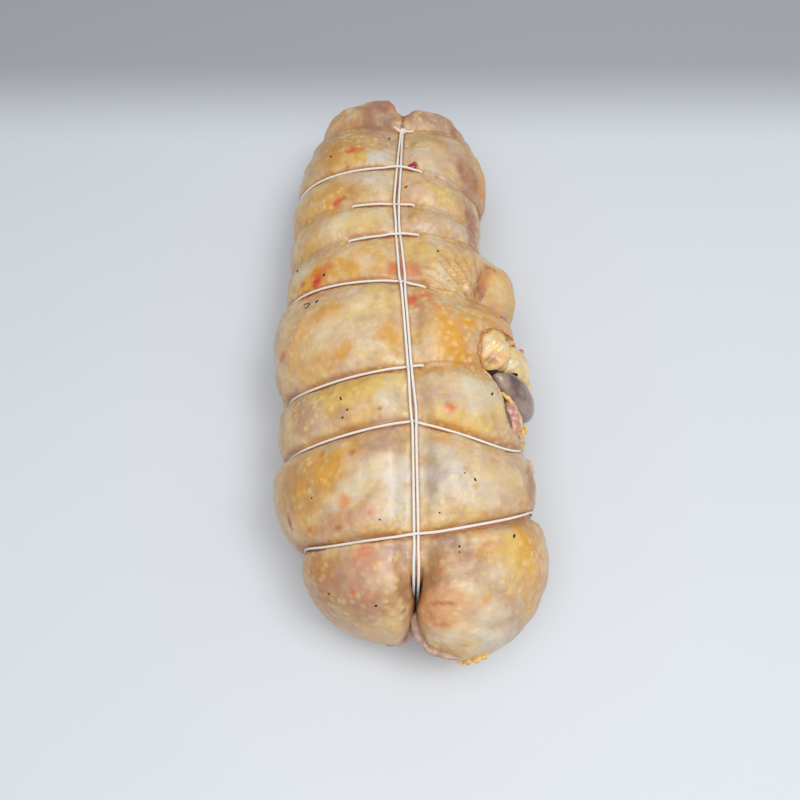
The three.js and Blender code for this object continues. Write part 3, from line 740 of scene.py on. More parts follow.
def end_point(row, share, turn, end):
    """A place on a rounded end, and how far up its lobe's inner flank it lies. It reaches
    out from the cleft's floor to its lobe's reach by (1 − (1 − inner)^flank)^(1/flank),
    times a superellipse of the share, times a power of cos(angle). It falls from the top
    edge to the under edge by ((1 + sin(angle)) / 2)^1.25. Near the cleft, the lobes lean
    together as `turn` grows."""
    index, t = row
    one = np.ones_like(share)
    over = section(index, t, one, share, True)
    under = section(index, t, one, share, False)
    distance = half_width(index, t, one, share) * share
    left = share < 0
    width = np.where(left, end["inner"][0], end["inner"][1])
    inner = np.clip((np.abs(distance) - CREASE_FLOOR) / width, 0, 1)
    lobe = np.where(left, end["reach"][0], end["reach"][1])
    power = np.where(left, end["power"][0], end["power"][1])
    reach = mix(end["cleft"], lobe, arch(1 - inner, end["flank"])) * arch(share, power)
    angle = np.pi * (0.5 - turn)
    level = ((1 + np.sin(angle)) / 2) ** 1.25
    rounding = np.clip(np.cos(angle), 0, None) ** np.where(left, *end["round"])
    y = mix(over[..., 1], under[..., 1], turn) + end["way"] * reach * rounding
    z = np.maximum(0, mix(under[..., 2], over[..., 2], level))
    # the flanks of the two lobes lean over the string until they meet
    close = eased((turn - 0.12) / 0.18) * eased((1 - turn) / 0.1) * reach_gain(end)
    beyond = np.clip((inner - 0.13) / 0.87, 0, 1)
    leaned = np.interp(inner, [0, 0.02, 0.05, 0.08, 0.13], [2.3, 1.5, 0.2, 0.5, 1.6])
    leaned = np.where(inner > 0.13, mix(1.6, CREASE_FLOOR + width, beyond), leaned)
    flank = (inner < 1) & (np.abs(distance) > CREASE_FLOOR)
    shift = np.where(flank, leaned - np.abs(distance), 0) * np.sign(distance)
    x = over[..., 0] + shift * close
    return np.stack(np.broadcast_arrays(x, y, z), -1), inner


def skin_grid(columns, spacing=0.85):
    """The closed skin: rows along the roll over the top, every fourth column underneath,
    and both ends closed by upright strips. Returns points, faces and the fold depth."""
    even_way = np.linspace(1, -1, columns)
    angles = 90 * (even_way - 0.55 * np.sin(2 * np.pi * even_way) / (2 * np.pi))
    shares = np.sign(angles) * np.abs(np.sin(np.radians(angles))) ** (2 / TOP_POWER)
    rows = []
    for index in range(LAST + 1):
        length = RIBS[index, TOP] - RIBS[index + 1, TOP]
        count = max(8, round(length / spacing))
        share = np.arange(count + (index == LAST)) / count
        along = length * (share - 0.6 * np.sin(2 * np.pi * share) / (2 * np.pi))
        rows += [(index, place) for place in along]
    index = np.array([row[0] for row in rows])[:, None]
    distance = np.array([row[1] for row in rows])[:, None]
    count = len(rows)
    top, fold = roll_point(index, distance, shares[None], True)
    coarse = np.arange(0, columns, 4)
    under, _ = roll_point(index[1:-1], distance[1:-1], shares[coarse][None, 1:-1], False)
    edges = [
        roll_point(index[[r]], distance[[r]], shares[None, 1:-1], False)[0][0] for r in (0, -1)
    ]
    points = [top.reshape(-1, 3), under.reshape(-1, 3), *edges]
    folds = [fold.ravel(), np.zeros(under.size // 3), np.zeros(columns - 2), np.zeros(columns - 2)]
    over = np.arange(count * columns).reshape(count, columns)
    start = over.size
    inner = np.arange(start, start + under.size // 3).reshape(count - 2, -1)
    start += inner.size
    edge_ids = []
    for r in (0, -1):
        edge_ids.append(
            np.concatenate([[over[r, 0]], np.arange(start, start + columns - 2), [over[r, -1]]])
        )
        start += columns - 2
    below = np.column_stack([over[1:-1, 0], inner, over[1:-1, -1]])
    below = np.vstack([edge_ids[0][coarse], below, edge_ids[1][coarse]])
    middle = below[1:-1]
    faces = [
        quads(over[:-1, :-1], over[:-1, 1:], over[1:, 1:], over[1:, :-1]),
        quads(middle[:-1, :-1], middle[1:, :-1], middle[1:, 1:], middle[:-1, 1:]),
    ]
    strips = []
    for k in range(len(coarse) - 1):
        fine = slice(coarse[k], coarse[k + 1] + 1)
        strips.append([*edge_ids[0][fine][::-1].tolist(), below[1, k], below[1, k + 1]])
        strips.append([*edge_ids[1][fine].tolist(), below[-2, k + 1], below[-2, k]])
    faces.append([[int(v) for v in strip] for strip in strips])
    for end, row, edge, steps in ((FAR_END, 0, 0, 40), (NEAR_END, -1, 1, 74)):
        length = swelling(index[row], distance[row])[0][0]
        place = (np.array([index[row, 0]]), np.array([distance[row, 0] / length]))
        turns = np.linspace(0, 1, steps + 1)[1:-1, None]
        cap, inward = end_point(place, shares[None, 1:-1], turns, end)
        points.append(cap.reshape(-1, 3))
        # painted shade: deep in the cleft between the lobes this passes 1, which paints the flanks
        # near black
        deep = 1.9 * eased((0.17 - inward) / 0.16) * eased((turns - 0.1) / 0.16) * reach_gain(end)
        folds.append(np.broadcast_to(deep, cap.shape[:-1]).ravel())
        ids = np.empty((steps + 1, columns), int)
        ids[0], ids[-1] = over[row], edge_ids[edge]
        ids[:, 0], ids[:, -1] = over[row, 0], over[row, -1]
        ids[1:-1, 1:-1] = np.arange(start, start + cap.size // 3).reshape(steps - 1, -1)
        start += cap.size // 3
        inside = [ids[:-1, 1:-2], ids[:-1, 2:-1], ids[1:, 2:-1], ids[1:, 1:-2]]
        inside = np.stack(inside, -1).reshape(-1, 4)
        right = np.stack([ids[:-1, 0], ids[:-1, 1], ids[1:, 1]], -1)
        left = np.stack([ids[:-1, -2], ids[:-1, -1], ids[1:, -2]], -1)
        step = -1 if end["way"] > 0 else 1
        for group in (inside, right, left):
            faces.append(group[:, ::step].tolist())
    return np.vstack(points), [face for group in faces for face in group], np.concatenate(folds)


def fan(points):
    """The gathers that spread from the foot of the wing: 0.9 sin(34 angle) mm, strongest
    8 mm out, between the roll's far side and its left."""
    dx, dy = points[:, 0] - 34, points[:, 1] + 1
    out, angle = np.hypot(dx, dy), np.arctan2(dy, dx)
    where = eased(
        (angle - 1.45) / 0.25
    ) * eased((3.1 - angle) / 0.4) * eased(out / 5) * eased((38 - out) / 18)
    return 0.9 * np.sin(34 * angle + waves(points, 9, 71)) * where * (points[:, 2] > 30)


def fold_height(points):
    """How far each named fold lifts the skin: its height times exp(−(distance / half
    width)²), faded at the two ends of its line and down the sides."""
    upper = points[:, 2] > 16
    total = fan(points)
    for line, width, height in FOLDS:
        low, high = np.min(line, 0) - 4 * width, np.max(line, 0) + 4 * width
        near = np.flatnonzero(upper & (points[:, :2] > low).all(1) & (points[:, :2] < high).all(1))
        far, along = line_distance(points[near, :2], line)
        ends = eased(along / 0.15) * eased((1 - along) / 0.15)
        ends = (0.25 + 0.75 * ends) * eased((points[near, 2] - 20) / 18)
        total[near] += height * np.exp(-((far / width) ** 2)) * ends
    return total


def pucker(points, fold):
    """Small gathers across the string: sine waves along x that die out away from it."""
    x = points[:, 0] + 1.3 * waves(points, 9, 31)
    return 0.16 * np.sin(2 * np.pi * x / 3.1) * np.clip(fold, 0, 1) ** 0.35


def gape_edge(y):
    """x of the skin's cut edge on the right, where the flesh lies bare, at each y."""
    ys = [
        -60, -57, -52, -47, -41.5, -37, -34.8, -31.4, -28, -25, -21.6, -18.8, -16.6, -14.6, -13,
        -11.6, -10.4, -9.2, -8.2,
    ]
    xs = [
        56, 44, 42, 41.3, 40.3, 38.9, 36.5, 33.2, 32.8, 32.4, 32.9, 33.5, 34.3, 35.8, 38.2, 41.2,
        44.6, 49, 58,
    ]
    return np.interp(y, ys, xs, 200, 200)


def gape(points):
    """1 where the skin is missing, 0 where it covers the roll, eased over 1.6 mm."""
    past = eased((points[:, 0] - gape_edge(points[:, 1])) / 1.6)
    low = 27 + 2.5 * waves(points, 14, 61)
    return past * eased((points[:, 2] - low) / 3) * (points[:, 0] > 0)


@functools.lru_cache(maxsize=1)
def skin_surface(columns):
    """The skin with its folds, gathers and slow swells, sunk 2.6 mm under the bare
    flesh. Returns points, faces, the fold depth, which also weighs the painted shade, and normals."""
    points, faces, fold = skin_grid(columns)
    normals = face_normals(points, faces)
    named = fold_height(points)
    rise = named + pucker(points, fold) + 0.22 * waves(points, 12, 21) + 0.07 * waves(
        points, 4.5, 22
    )
    rise *= eased((points[:, 2] - 2) / 14) * (1 - 0.7 * np.clip(fold, 0, 1))
    bare = gape(points)
    points = points + normals * (rise - 2.6 * bare * eased((points[:, 2] - 40) / 9))[:, None]
    points[:, 2] = np.maximum(points[:, 2], 0)
    across = np.abs(points[:, 0] - np.interp(-points[:, 1], -RIBS[:, TOP], RIBS[:, CREASE]))
    shut = shutting(points[:, 1])
    # painted shade along the crease on top: rust brown beside the strands, near black past the knot
    # where the crease closes
    crease_shade = mix(0.55, 0.9, eased((points[:, 1] - 30) / 25))
    crease_shade = crease_shade * np.exp(
        -((np.clip(across - mix(1.3, 0.1, shut), 0, None) / mix(0.8, 0.35, shut)) ** 2)
    )
    crease_shade = crease_shade * mix(1, 2, shut) * (points[:, 2] > 30)
    # hollow named folds get painted shade too, up to 0.6 of full
    fold = np.maximum(fold, np.maximum(crease_shade, np.clip(-named / 1.6, 0, 1) * 0.6))
    return points, faces, fold, face_normals(points, faces)


def on_skin(place, lift=0.0):
    """The skin's point nearest to a place, moved out by `lift`, and its normal. A place
    of two numbers is one seen from above."""
    points, _, _, normals = skin_surface(bpy.context.scene.roast_skin.columns)
    if len(place) == 2:
        far = np.hypot(points[:, 0] - place[0], points[:, 1] - place[1]) + 1e3 * (points[:, 2] < 22)
    else:
        far = np.linalg.norm(points - place, axis=1)
    nearest = far.argmin()
    return points[nearest] + lift * normals[nearest], normals[nearest]


def paint(points, marks, edge, ragged, spotting, colours, seed):
    """Lays ellipses of colour on the skin, fading out down its sides. An ellipse's
    strength fades from its middle over `edge` of its radius, and noise frays it."""
    for number, (name, x, y, long, wide, turn, strength) in enumerate(marks):
        reach = 1.8 * max(long, wide)
        close = (np.abs(points[:, :2] - (x, y)) < reach).all(1)
        near = np.flatnonzero(close & (points[:, 2] > 12))
        if not len(near):
            continue
        c, s = math.cos(math.radians(turn)), math.sin(math.radians(turn))
        dx, dy = points[near, 0] - x, points[near, 1] - y
        radius = np.hypot((dx * c + dy * s) / long, (dy * c - dx * s) / wide)
        radius += ragged * waves(points[near], spotting * min(long, wide), seed + number)
        weight = (
            strength * eased((1.15 - radius) / edge) * eased((points[near, 2] - 13) / 15)
        )[:, None]
        colours[near] = mix(colours[near], LINEAR[name], weight)


def skin_colours(points, normals, fold):
    """The skin's colour: cream, with ochre, mauve, pale and yellow in slow noise, tan and
    peach down the sides, then the named zones and marks, rust-brown painted shade in the
    folds, grooves and crease, and near-black painted shade deep in the clefts."""
    colours = np.tile(LINEAR["cream"], (len(points), 1))
    for name, size, seed, strength, level in (
        ("ochre", 26, 1, 0.5, 0.1),
        ("mauve", 22, 2, 0.42, 0.1),
        ("pale", 15, 3, 0.5, 0.1),
        ("yellow", 12, 4, 0.4, 0.2),
        ("ochre", 6, 5, 0.32, 0.3),
        ("mauve", 7, 6, 0.3, 0.3),
        ("pale", 4, 7, 0.32, 0.3),
    ):
        weight = strength * eased((waves(points, size, seed) - level) / 0.9)
        colours = mix(colours, LINEAR[name], weight[:, None])
    side = eased((0.75 - normals[:, 2]) / 0.8)[:, None]
    colours = mix(colours, (LINEAR["tan"] + LINEAR["peach"]) / 2, 0.5 * side)
    paint(points, ZONES, 0.8, 0.16, 0.9, colours, 100)
    paint(points, MARKS, 0.75, 0.12, 2.5, colours, 400)
    # painted shade: rust brown along the folds, the strings' grooves and the crease
    colours = mix(colours, LINEAR["rust"] * 0.75, 0.8 * np.clip(fold, 0, 1)[:, None])
    # painted shade: near black where the fold weight passes 1, deep in the clefts and the closed
    # crease
    colours = mix(colours, LINEAR["dark"], np.clip(fold - 1, 0, 1)[:, None])
    # the bare flesh's purple, darkened as painted shade in the hollows where the skin gapes under
    # the fat and the muscle
    colours = mix(colours, LINEAR["purple"] * (0.42, 0.5, 0.55), 0.9 * gape(points)[:, None])
    return np.clip(colours, 0, 1)


# ---- String lines ----------------------------------------------------------------------


def outward(line, across):
    """Unit vectors away from the roll along a closed line: tangent × across."""
    along = np.roll(line, -1, 0) - np.roll(line, 1, 0)
    along -= (along @ across)[:, None] * across
    out = np.cross(along, across)
    return out / np.maximum(np.linalg.norm(out, axis=1), 1e-9)[:, None]


def even(line, step):
    """A closed line walked again in even steps of about `step`."""
    closed = np.vstack([line, line[:1]])
    run = np.concatenate([[0], np.cumsum(np.linalg.norm(np.diff(closed, axis=0), axis=1))])
    place = np.linspace(0, run[-1], round(run[-1] / step) + 1)[:-1]
    return np.stack([np.interp(place, run, closed[:, k]) for k in range(3)], -1)


def hump(distance, flat):
    """Rise or dip of a string at another: 0.75 mm at the crossing, 0 beyond 8 mm."""
    out = np.clip((np.abs(distance) - flat) / (HUMP_LENGTH - flat), 0, 1)
    return HUMP * (1 - out) ** 2 * (1 + 2 * out)


def loop_line(index):
    """A loop of string on the floor of its groove, over or under the two strands."""
    angles = np.linspace(90, -90, 241)
    shares = np.sign(angles) * np.abs(np.sin(np.radians(angles))) ** (2 / TOP_POWER)
    zero = np.zeros_like(shares)
    at = np.full(shares.shape, index)
    over = section(at, zero, zero, shares, True)
    under = section(at, zero, zero, shares[::-1], False)[1:-1]
    line = np.vstack([over, under])
    hidden = covered(np.full(len(line), index), line[:, 0]) * (line[:, 2] > WIDEST - 12)
    lift = mix(LIFT, -0.35, hidden) - 3 * gape(line)
    crossing = hump(line[:, 0] - RIBS[index, CREASE], CREASE_FLOOR) * (line[:, 2] > WIDEST)
    lift = lift + np.minimum(fold_height(line), 0) + crossing * (1 if index in LOOPS_OVER else -DIP)
    line = line + lift[:, None] * outward(line, np.array([0, -1.0, 0]))
    return even(line, STRING_STEP)


def strand_gap(y):
    """Half the distance between the two lengthwise strands at each y."""
    return np.interp(
        y, [-126, -104, -80, -64, -54, -40, -30, 3, 10, 32, 40, 52, 72, 90, 110],
        [0.6, 0.8, 0.7, 0.7, 1.1, 0.7, 0.7, 0.75, 1.25, 1, 0.72, 1.1, 1, 0.7, 0.5],
    )


def strand_line(side):
    """One of the two strands that run lengthwise over the top, down both clefts and
    along the underside, in the middle of the crease."""
    rows = []
    for index in range(LAST + 1):
        length = RIBS[index, TOP] - RIBS[index + 1, TOP]
        count = max(6, round(length / 0.7))
        stations = np.linspace(0, length, count, endpoint=index == LAST)
        rows += [(index, place) for place in stations]
    index = np.array([row[0] for row in rows])
    distance = np.array([row[1] for row in rows])
    length, swell = swelling(index, distance)
    t = distance / length
    y = mix(RIBS[index, TOP], RIBS[index + 1, TOP], t)
    offset = side * strand_gap(y)
    share = offset / half_width(index, t, swell, offset)
    over = section(index, t, swell, share, True)
    share = side * STRAND / half_width(index, t, swell, offset)
    under = section(index, t, swell, share, False)
    under[:, 2] = 2.4
    lifts = mix(LIFT, -9, shutting(over[:, 1]))
    for loop in range(1, LAST + 1):
        lifts += hump(over[:, 1] - RIBS[loop, TOP], 1.5) * (-DIP if loop in LOOPS_OVER else 1)
    ends = []
    for end, row in ((NEAR_END, -1), (FAR_END, 0)):
        turns = np.linspace(0, 1, 40)
        place = (np.full(40, index[row]), np.full(40, t[row]))
        half = half_width(place[0], place[1], np.ones(40), np.full(40, side))
        cap, _ = end_point(place, side * np.maximum(0.6, STRAND - 0.3 * turns) / half, turns, end)
        ends.append(cap[1:-1])
    line = np.vstack([over, ends[0], under[::-1], ends[1][::-1]])
    rising = np.interp(np.arange(38), [0, 22, 37], [1.05, 0.6, -9])
    lifts = np.concatenate([lifts, np.full(38, 0.9), np.full(len(under), 1.05), rising])
    for _ in range(6):
        lifts = (np.roll(lifts, 1) + lifts * 2 + np.roll(lifts, -1)) / 4
    line = line + lifts[:, None] * outward(line, np.array([1.0, 0, 0]))
    for _ in range(3):
        line = (np.roll(line, 1, 0) + line * 2 + np.roll(line, -1, 0)) / 4
    return even(line, STRING_STEP)


# ---- Meshes ----------------------------------------------------------------------------


def make_piece(name, points, faces, replaces=(), attributes=None, material=None):
    """An object at the origin with its place in its mesh, riding on the roast."""
    mesh = bpy.data.meshes.new(name)
    mesh.from_pydata(
        to_metres(points).tolist(), [], faces if isinstance(faces, list) else faces.tolist()
    )
    mesh.validate()
    mesh.polygons.foreach_set("use_smooth", np.ones(len(mesh.polygons), bool))
    for label, values in (attributes or {}).items():
        if label == "tint":
            layer = mesh.attributes.new(label, "FLOAT_COLOR", "POINT")
            rgba = np.column_stack([values, np.ones(len(values))]).astype(np.float32)
            layer.data.foreach_set("color", rgba.ravel())
        else:
            layer = mesh.attributes.new(label, "FLOAT", "POINT")
            layer.data.foreach_set("value", values.astype(np.float32))
    if material:
        mesh.materials.append(material)
    piece = bpy.data.objects.new(name, mesh)
    bpy.context.scene.collection.objects.link(piece)
    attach(piece, "root")
    if replaces:
        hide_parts(*replaces)
    return piece


def tube(line, radius, sides, closed, reference, plies=0, lay=5.5):
    """A round tube along a line. The section's radius is r (0.88 + 0.12 |cos(plies/2 ·
    (angle − 2π run/lay))|), so that the twisted plies show. Open ends are closed with a
    point just past them."""
    if closed:
        along = np.roll(line, -1, 0) - np.roll(line, 1, 0)
    else:
        along = np.gradient(line, axis=0)
    along /= np.maximum(np.linalg.norm(along, axis=1), 1e-9)[:, None]
    across = np.cross(along, reference)
    across /= np.maximum(np.linalg.norm(across, axis=1), 1e-9)[:, None]
    up = np.cross(across, along)
    step = np.linalg.norm(np.diff(line, axis=0, append=line[:1]), axis=1)
    run = np.concatenate([[0], np.cumsum(step)[:-1]])
    angle = np.linspace(0, 2 * np.pi, sides, endpoint=False)[None]
    size = np.broadcast_to(np.asarray(radius, float), run.shape)[:, None] * np.ones_like(angle)
    strand = np.zeros_like(size)
    if plies:
        twist = 2 * np.pi * run / (run[-1] / max(1, round(run[-1] / lay)))
        strand = np.abs(np.cos(plies / 2 * (angle - twist[:, None])))
        size = size * (0.88 + 0.12 * strand**0.6)
    ring = line[:, None] + size[..., None] * (
        np.cos(angle)[..., None] * across[:, None] + np.sin(angle)[..., None] * up[:, None]
    )
    points = ring.reshape(-1, 3)
    count = len(line)
    ids = np.arange(count * sides).reshape(count, sides)
    if closed:
        a, b = ids, np.roll(ids, -1, 0)
    else:
        a, b = ids[:-1], ids[1:]
    faces = quads(a, b, np.roll(b, -1, 1), np.roll(a, -1, 1))
    shade = strand.ravel()
    if not closed:
        tips = np.array(
            [line[0] - along[0] * size[0, 0] * 0.5, line[-1] + along[-1] * size[-1, 0] * 0.5]
        )
        first, last = len(points), len(points) + 1
        points = np.vstack([points, tips])
        shade = np.concatenate([shade, [1, 1]])
        faces += [[first, int(p), int(q)] for p, q in zip(ids[0], np.roll(ids[0], -1))]
        faces += [[last, int(q), int(p)] for p, q in zip(ids[-1], np.roll(ids[-1], -1))]
    return points, faces, shade


def joined(parts):
    """Several (points, faces, shade) lists as one."""
    points, faces, shades, start = [], [], [], 0
    for part, quads, shade in parts:
        points.append(part)
        shades.append(shade)
        faces += [[v + start for v in face] for face in quads]
        start += len(part)
    return np.vstack(points), faces, np.concatenate(shades)


def ball(columns, rows):
    """Points on a unit ball, its faces, and closed poles: rows of latitude between two
    single points."""
    height = np.linspace(0, np.pi, rows + 1)[1:-1, None]
    angle = np.linspace(0, 2 * np.pi, columns, endpoint=False)[None]
    x, y = np.sin(height) * np.cos(angle), np.sin(height) * np.sin(angle)
    ring = np.stack(np.broadcast_arrays(x, y, np.cos(height)), -1)
    points = np.vstack([ring.reshape(-1, 3), [[0, 0, 1], [0, 0, -1]]])
    return points, capped(rows - 1, columns)


def swept(path, widths, heights, rough=0.0, size=3.0, seed=1, spacing=0.5, sides=20):
    """A soft rod with rounded ends along a path. Its section is an ellipse, w across the
    roll's surface and h away from the roll's axis, both taken along the path, times
    (1 − (1 − end)²)^0.5 over the last eighth, and noise swells it."""
    path = np.asarray(path, float)
    long = np.linalg.norm(np.diff(path, axis=0), axis=1).sum()
    count = max(12, round(long / spacing))
    line = smooth_line(path, count)
    t = 0.5 - 0.5 * np.cos(np.pi * (np.arange(count) + 0.5) / count)
    line = np.stack([np.interp(t, np.linspace(0, 1, count), line[:, k]) for k in range(3)], -1)
    taper = np.sqrt(1 - (1 - np.clip(np.minimum(t, 1 - t) / 0.125, 0, 1)) ** 2)
    wide = np.interp(t, np.linspace(0, 1, len(widths)), widths) * taper
    high = np.interp(t, np.linspace(0, 1, len(heights)), heights) * taper
    along = np.gradient(line, axis=0)
    along /= np.linalg.norm(along, axis=1)[:, None]
    out = line - np.stack([np.full(count, 2.0), line[:, 1], np.full(count, 24.0)], -1)
    out -= (out * along).sum(1)[:, None] * along
    out /= np.linalg.norm(out, axis=1)[:, None]
    across = np.cross(along, out)
    angle = np.linspace(0, 2 * np.pi, sides, endpoint=False)[None]
    ring = line[:, None] + (
        (wide[:, None] * np.cos(angle))[..., None] * across[:, None]
        + (high[:, None] * np.sin(angle))[..., None] * out[:, None]
    )
    points = np.vstack([ring.reshape(-1, 3), line[:1], line[-1:]])
    faces = capped(count, sides)
    fine = waves(points, size, seed)
    return points + face_normals(points, faces) * (rough * fine)[:, None], faces, fine


def lump(centre, half, turn, size, depth, seed, columns=96, rows=64):
    """A soft lump: the part's ball with its swells, drawn out to three half sizes, with
    finer noise of a given size and depth along its normals."""
    points, faces = ball(columns, rows)
    wave = np.sin(
        3.1 * points[:, 0] + 1.3
    ) * np.sin(2.6 * points[:, 1] + 0.4) + np.sin(3.7 * points[:, 2])
    points = points * (1 + 0.045 * wave)[:, None] * np.asarray(half)
    c, s = math.cos(math.radians(turn)), math.sin(math.radians(turn))
    points = points @ np.array([[c, s, 0], [-s, c, 0], [0, 0, 1]]) + np.asarray(centre)
    normals = face_normals(points, faces)
    fine = waves(points, size, seed) + 0.5 * np.abs(waves(points, size * 0.55, seed + 1))
    return points + normals * (depth * fine)[:, None], faces, fine


# ---- Materials -------------------------------------------------------------------------


class Finish:
    """A node material in the making: `node` adds a node and returns its outputs."""

    def __init__(self, name):
        self.material = bpy.data.materials.new(name)
        self.material.use_nodes = True
        self.tree = self.material.node_tree
        self.shader = self.tree.nodes["Principled BSDF"]
        self.place = self.node("ShaderNodeTexCoord")["Object"]

    def node(self, kind, settings=None, **inputs):
        made = self.tree.nodes.new(kind)
        for name, value in (settings or {}).items():
            setattr(made, name, value)
        for name, value in inputs.items():
            self.feed(made, name.replace("_", " "), value)
        return made.outputs

    def feed(self, made, name, value):
        sockets = made.inputs
        socket = sockets[int(name)] if name.isdigit() else sockets[name]
        if isinstance(value, bpy.types.NodeSocket):
            self.tree.links.new(value, socket)
        else:
            socket.default_value = value

    def set(self, **inputs):
        for name, value in inputs.items():
            self.feed(self.shader, name.replace("_", " "), value)

    def noise(self, scale, detail=3.0, roughness=0.55, stretch=None, distortion=0.0):
        place = self.place
        if stretch:
            place = self.node("ShaderNodeMapping", Vector=place, Scale=stretch)[0]
        return self.node(
            "ShaderNodeTexNoise", Vector=place, Scale=scale, Detail=detail, Roughness=roughness,
            Distortion=distortion
        )["Fac"]

    def remap(self, value, low, high, to_low=0.0, to_high=1.0):
        made = self.tree.nodes.new("ShaderNodeMapRange")
        made.interpolation_type = "SMOOTHSTEP"
        self.tree.links.new(value, made.inputs["Value"])
        for name, number in (
            ("From Min", low), ("From Max", high), ("To Min", to_low), ("To Max", to_high)
        ):
            made.inputs[name].default_value = number
        return made.outputs[0]

    def times(self, a, b, operation="MULTIPLY"):
        made = self.tree.nodes.new("ShaderNodeMath")
        made.operation = operation
        self.feed(made, "0", a)
        self.feed(made, "1", b)
        return made.outputs[0]

    def blend(self, factor, a, b, kind="MIX"):
        made = self.tree.nodes.new("ShaderNodeMix")
        made.data_type = "RGBA"
        made.blend_type = kind
        self.feed(made, "0", factor)
        self.feed(made, "6", a)
        self.feed(made, "7", b)
        return made.outputs[2]

    def attribute(self, name, output="Fac"):
        return self.node("ShaderNodeAttribute", {"attribute_name": name})[output]

    def bump(self, *layers):
        normal = None
        for height, distance in layers:
            made = self.tree.nodes.new("ShaderNodeBump")
            made.inputs["Strength"].default_value = 1.0
            made.inputs["Distance"].default_value = distance * 0.001
            self.tree.links.new(height, made.inputs["Height"])
            if normal is not None:
                self.tree.links.new(normal, made.inputs["Normal"])
            normal = made.outputs[0]
        self.tree.links.new(normal, self.shader.inputs["Normal"])


def rgba(name, light=1.0):
    """A palette colour as four numbers, made lighter or darker."""
    return (*np.clip(LINEAR[name] * light, 0, 1).tolist(), 1.0)


def skin_finish(look):
    """Raw skin: the painted tint with fine mottling, raised pale follicles in uneven
    rows, fine creases and a moist coat."""
    f = Finish("raw skin")
    tint = f.attribute("tint", "Color")
    mottle = f.noise(330, 5, 0.62)
    mottled = f.blend(f.remap(mottle, 0.3, 0.7), rgba("mauve", 0.95), rgba("cream", 1.12))
    tint = f.blend(0.55, tint, mottled, "SOFT_LIGHT")
    patch = f.remap(f.noise(120, 4, 0.6, distortion=0.6), 0.52, 0.72)
    tint = f.blend(f.times(patch, 0.28), tint, rgba("ochre"))
    veil = f.remap(f.noise(95, 3, 0.5, (1, 0.7, 1), 0.4), 0.55, 0.75)
    tint = f.blend(f.times(veil, 0.3), tint, rgba("pale", 1.05))
    cells = f.node(
        "ShaderNodeTexVoronoi", Vector=f.place, Scale=1 / look.follicle_spacing, Randomness=0.9
    )
    dot = f.remap(cells["Distance"], 0.5, 0.12)
    dot = f.times(dot, f.remap(f.noise(34, 3, 0.6), 0.4, 0.62, 0.08, 1.0))
    tint = f.blend(f.times(dot, 0.52), tint, rgba("yellow", 1.15))
    f.set(Base_Color=f.blend(1.0, tint, SKIN_LEVEL, "MULTIPLY"))
    wet = f.remap(f.noise(70, 3, 0.5), 0.35, 0.7, look.gloss, look.gloss + 0.17)
    f.set(Roughness=wet)
    f.shader.inputs["Coat Weight"].default_value = 0.28
    f.shader.inputs["Coat Roughness"].default_value = 0.2
    f.shader.inputs["Subsurface Weight"].default_value = 0.14
    f.shader.inputs["Subsurface Radius"].default_value = (1.0, 0.42, 0.2)
    f.shader.inputs["Subsurface Scale"].default_value = 0.004
    f.shader.inputs["IOR"].default_value = 1.42
    creases = f.noise(420, 4, 0.6, (1, 0.45, 0.7), 0.5)
    crosswise = f.noise(300, 3, 0.6, (0.16, 1, 0.5), 0.3)
    f.bump(
        (f.noise(150, 3, 0.5), 0.55),
        (creases, 0.36),
        (crosswise, 0.34),
        (dot, look.follicle_height * 1000),
        (f.noise(1500, 2, 0.6), 0.08),
    )
    return f.material


def string_finish(look):
    """Cotton string: off-white, with painted shade between the plies, and fibres along them."""
    f = Finish("cotton string")
    ply = f.remap(f.attribute("ply"), 0.05, 0.6)
    fibre = f.noise(2600, 3, 0.7, (1, 1, 0.4))
    pale = f.blend(
        f.remap(fibre, 0.35, 0.7), (*[c * 0.86 for c in look.colour[:3]], 1), tuple(look.colour)
    )
    soaked = f.remap(f.noise(26, 3, 0.5), 0.5, 0.75, 0, 0.3)
    pale = f.blend(soaked, pale, rgba("cream", 1.05))
    # painted shade: the colour goes a third of the way to tan between the plies
    f.set(Base_Color=f.blend(ply, f.blend(0.3, pale, rgba("tan")), pale), Roughness=0.82)
    f.shader.inputs["Subsurface Weight"].default_value = 0.1
    f.shader.inputs["Subsurface Scale"].default_value = 0.001
    f.shader.inputs["Sheen Weight"].default_value = 0.15
    f.bump((fibre, 0.12), (ply, 0.1))
    return f.material


def flesh_finish(name, deep, middle, light, fibre, gloss):
    """Moist flesh or fat: three colours of one noise, drawn out along the fibres, with
    a wet coat."""
    f = Finish(name)
    tint = f.attribute("tint", "Color")
    grain = f.noise(260, 5, 0.65, fibre, 0.4)
    tone = f.blend(f.remap(grain, 0.3, 0.52), rgba(deep), rgba(middle))
    tone = f.blend(f.remap(grain, 0.52, 0.72), tone, rgba(light))
    f.set(
        Base_Color=f.blend(0.35, tint, tone),
        Roughness=f.remap(grain, 0.3, 0.7, gloss, gloss + 0.15),
    )
    f.shader.inputs["Coat Weight"].default_value = 0.5
    f.shader.inputs["Coat Roughness"].default_value = 0.12
    f.shader.inputs["Subsurface Weight"].default_value = 0.18
    f.shader.inputs["Subsurface Radius"].default_value = (1.0, 0.4, 0.22)
    f.shader.inputs["Subsurface Scale"].default_value = 0.003
    f.bump((f.noise(240, 4, 0.6, fibre), 0.5), (f.noise(900, 3, 0.6, fibre), 0.14))
    return f.material


def plain_finish(name, colour, roughness, size, depth, second=None):
    """One colour with a slow darker cloud in it, and a fine grain."""
    f = Finish(name)
    cloud = f.noise(size, 3, 0.5)
    f.set(
        Base_Color=f.blend(f.remap(cloud, 0.35, 0.7), colour, second or colour), Roughness=roughness
    )
    f.bump((f.noise(size * 8, 3, 0.5), depth))
    return f.material


# ---- Settings --------------------------------------------------------------------------


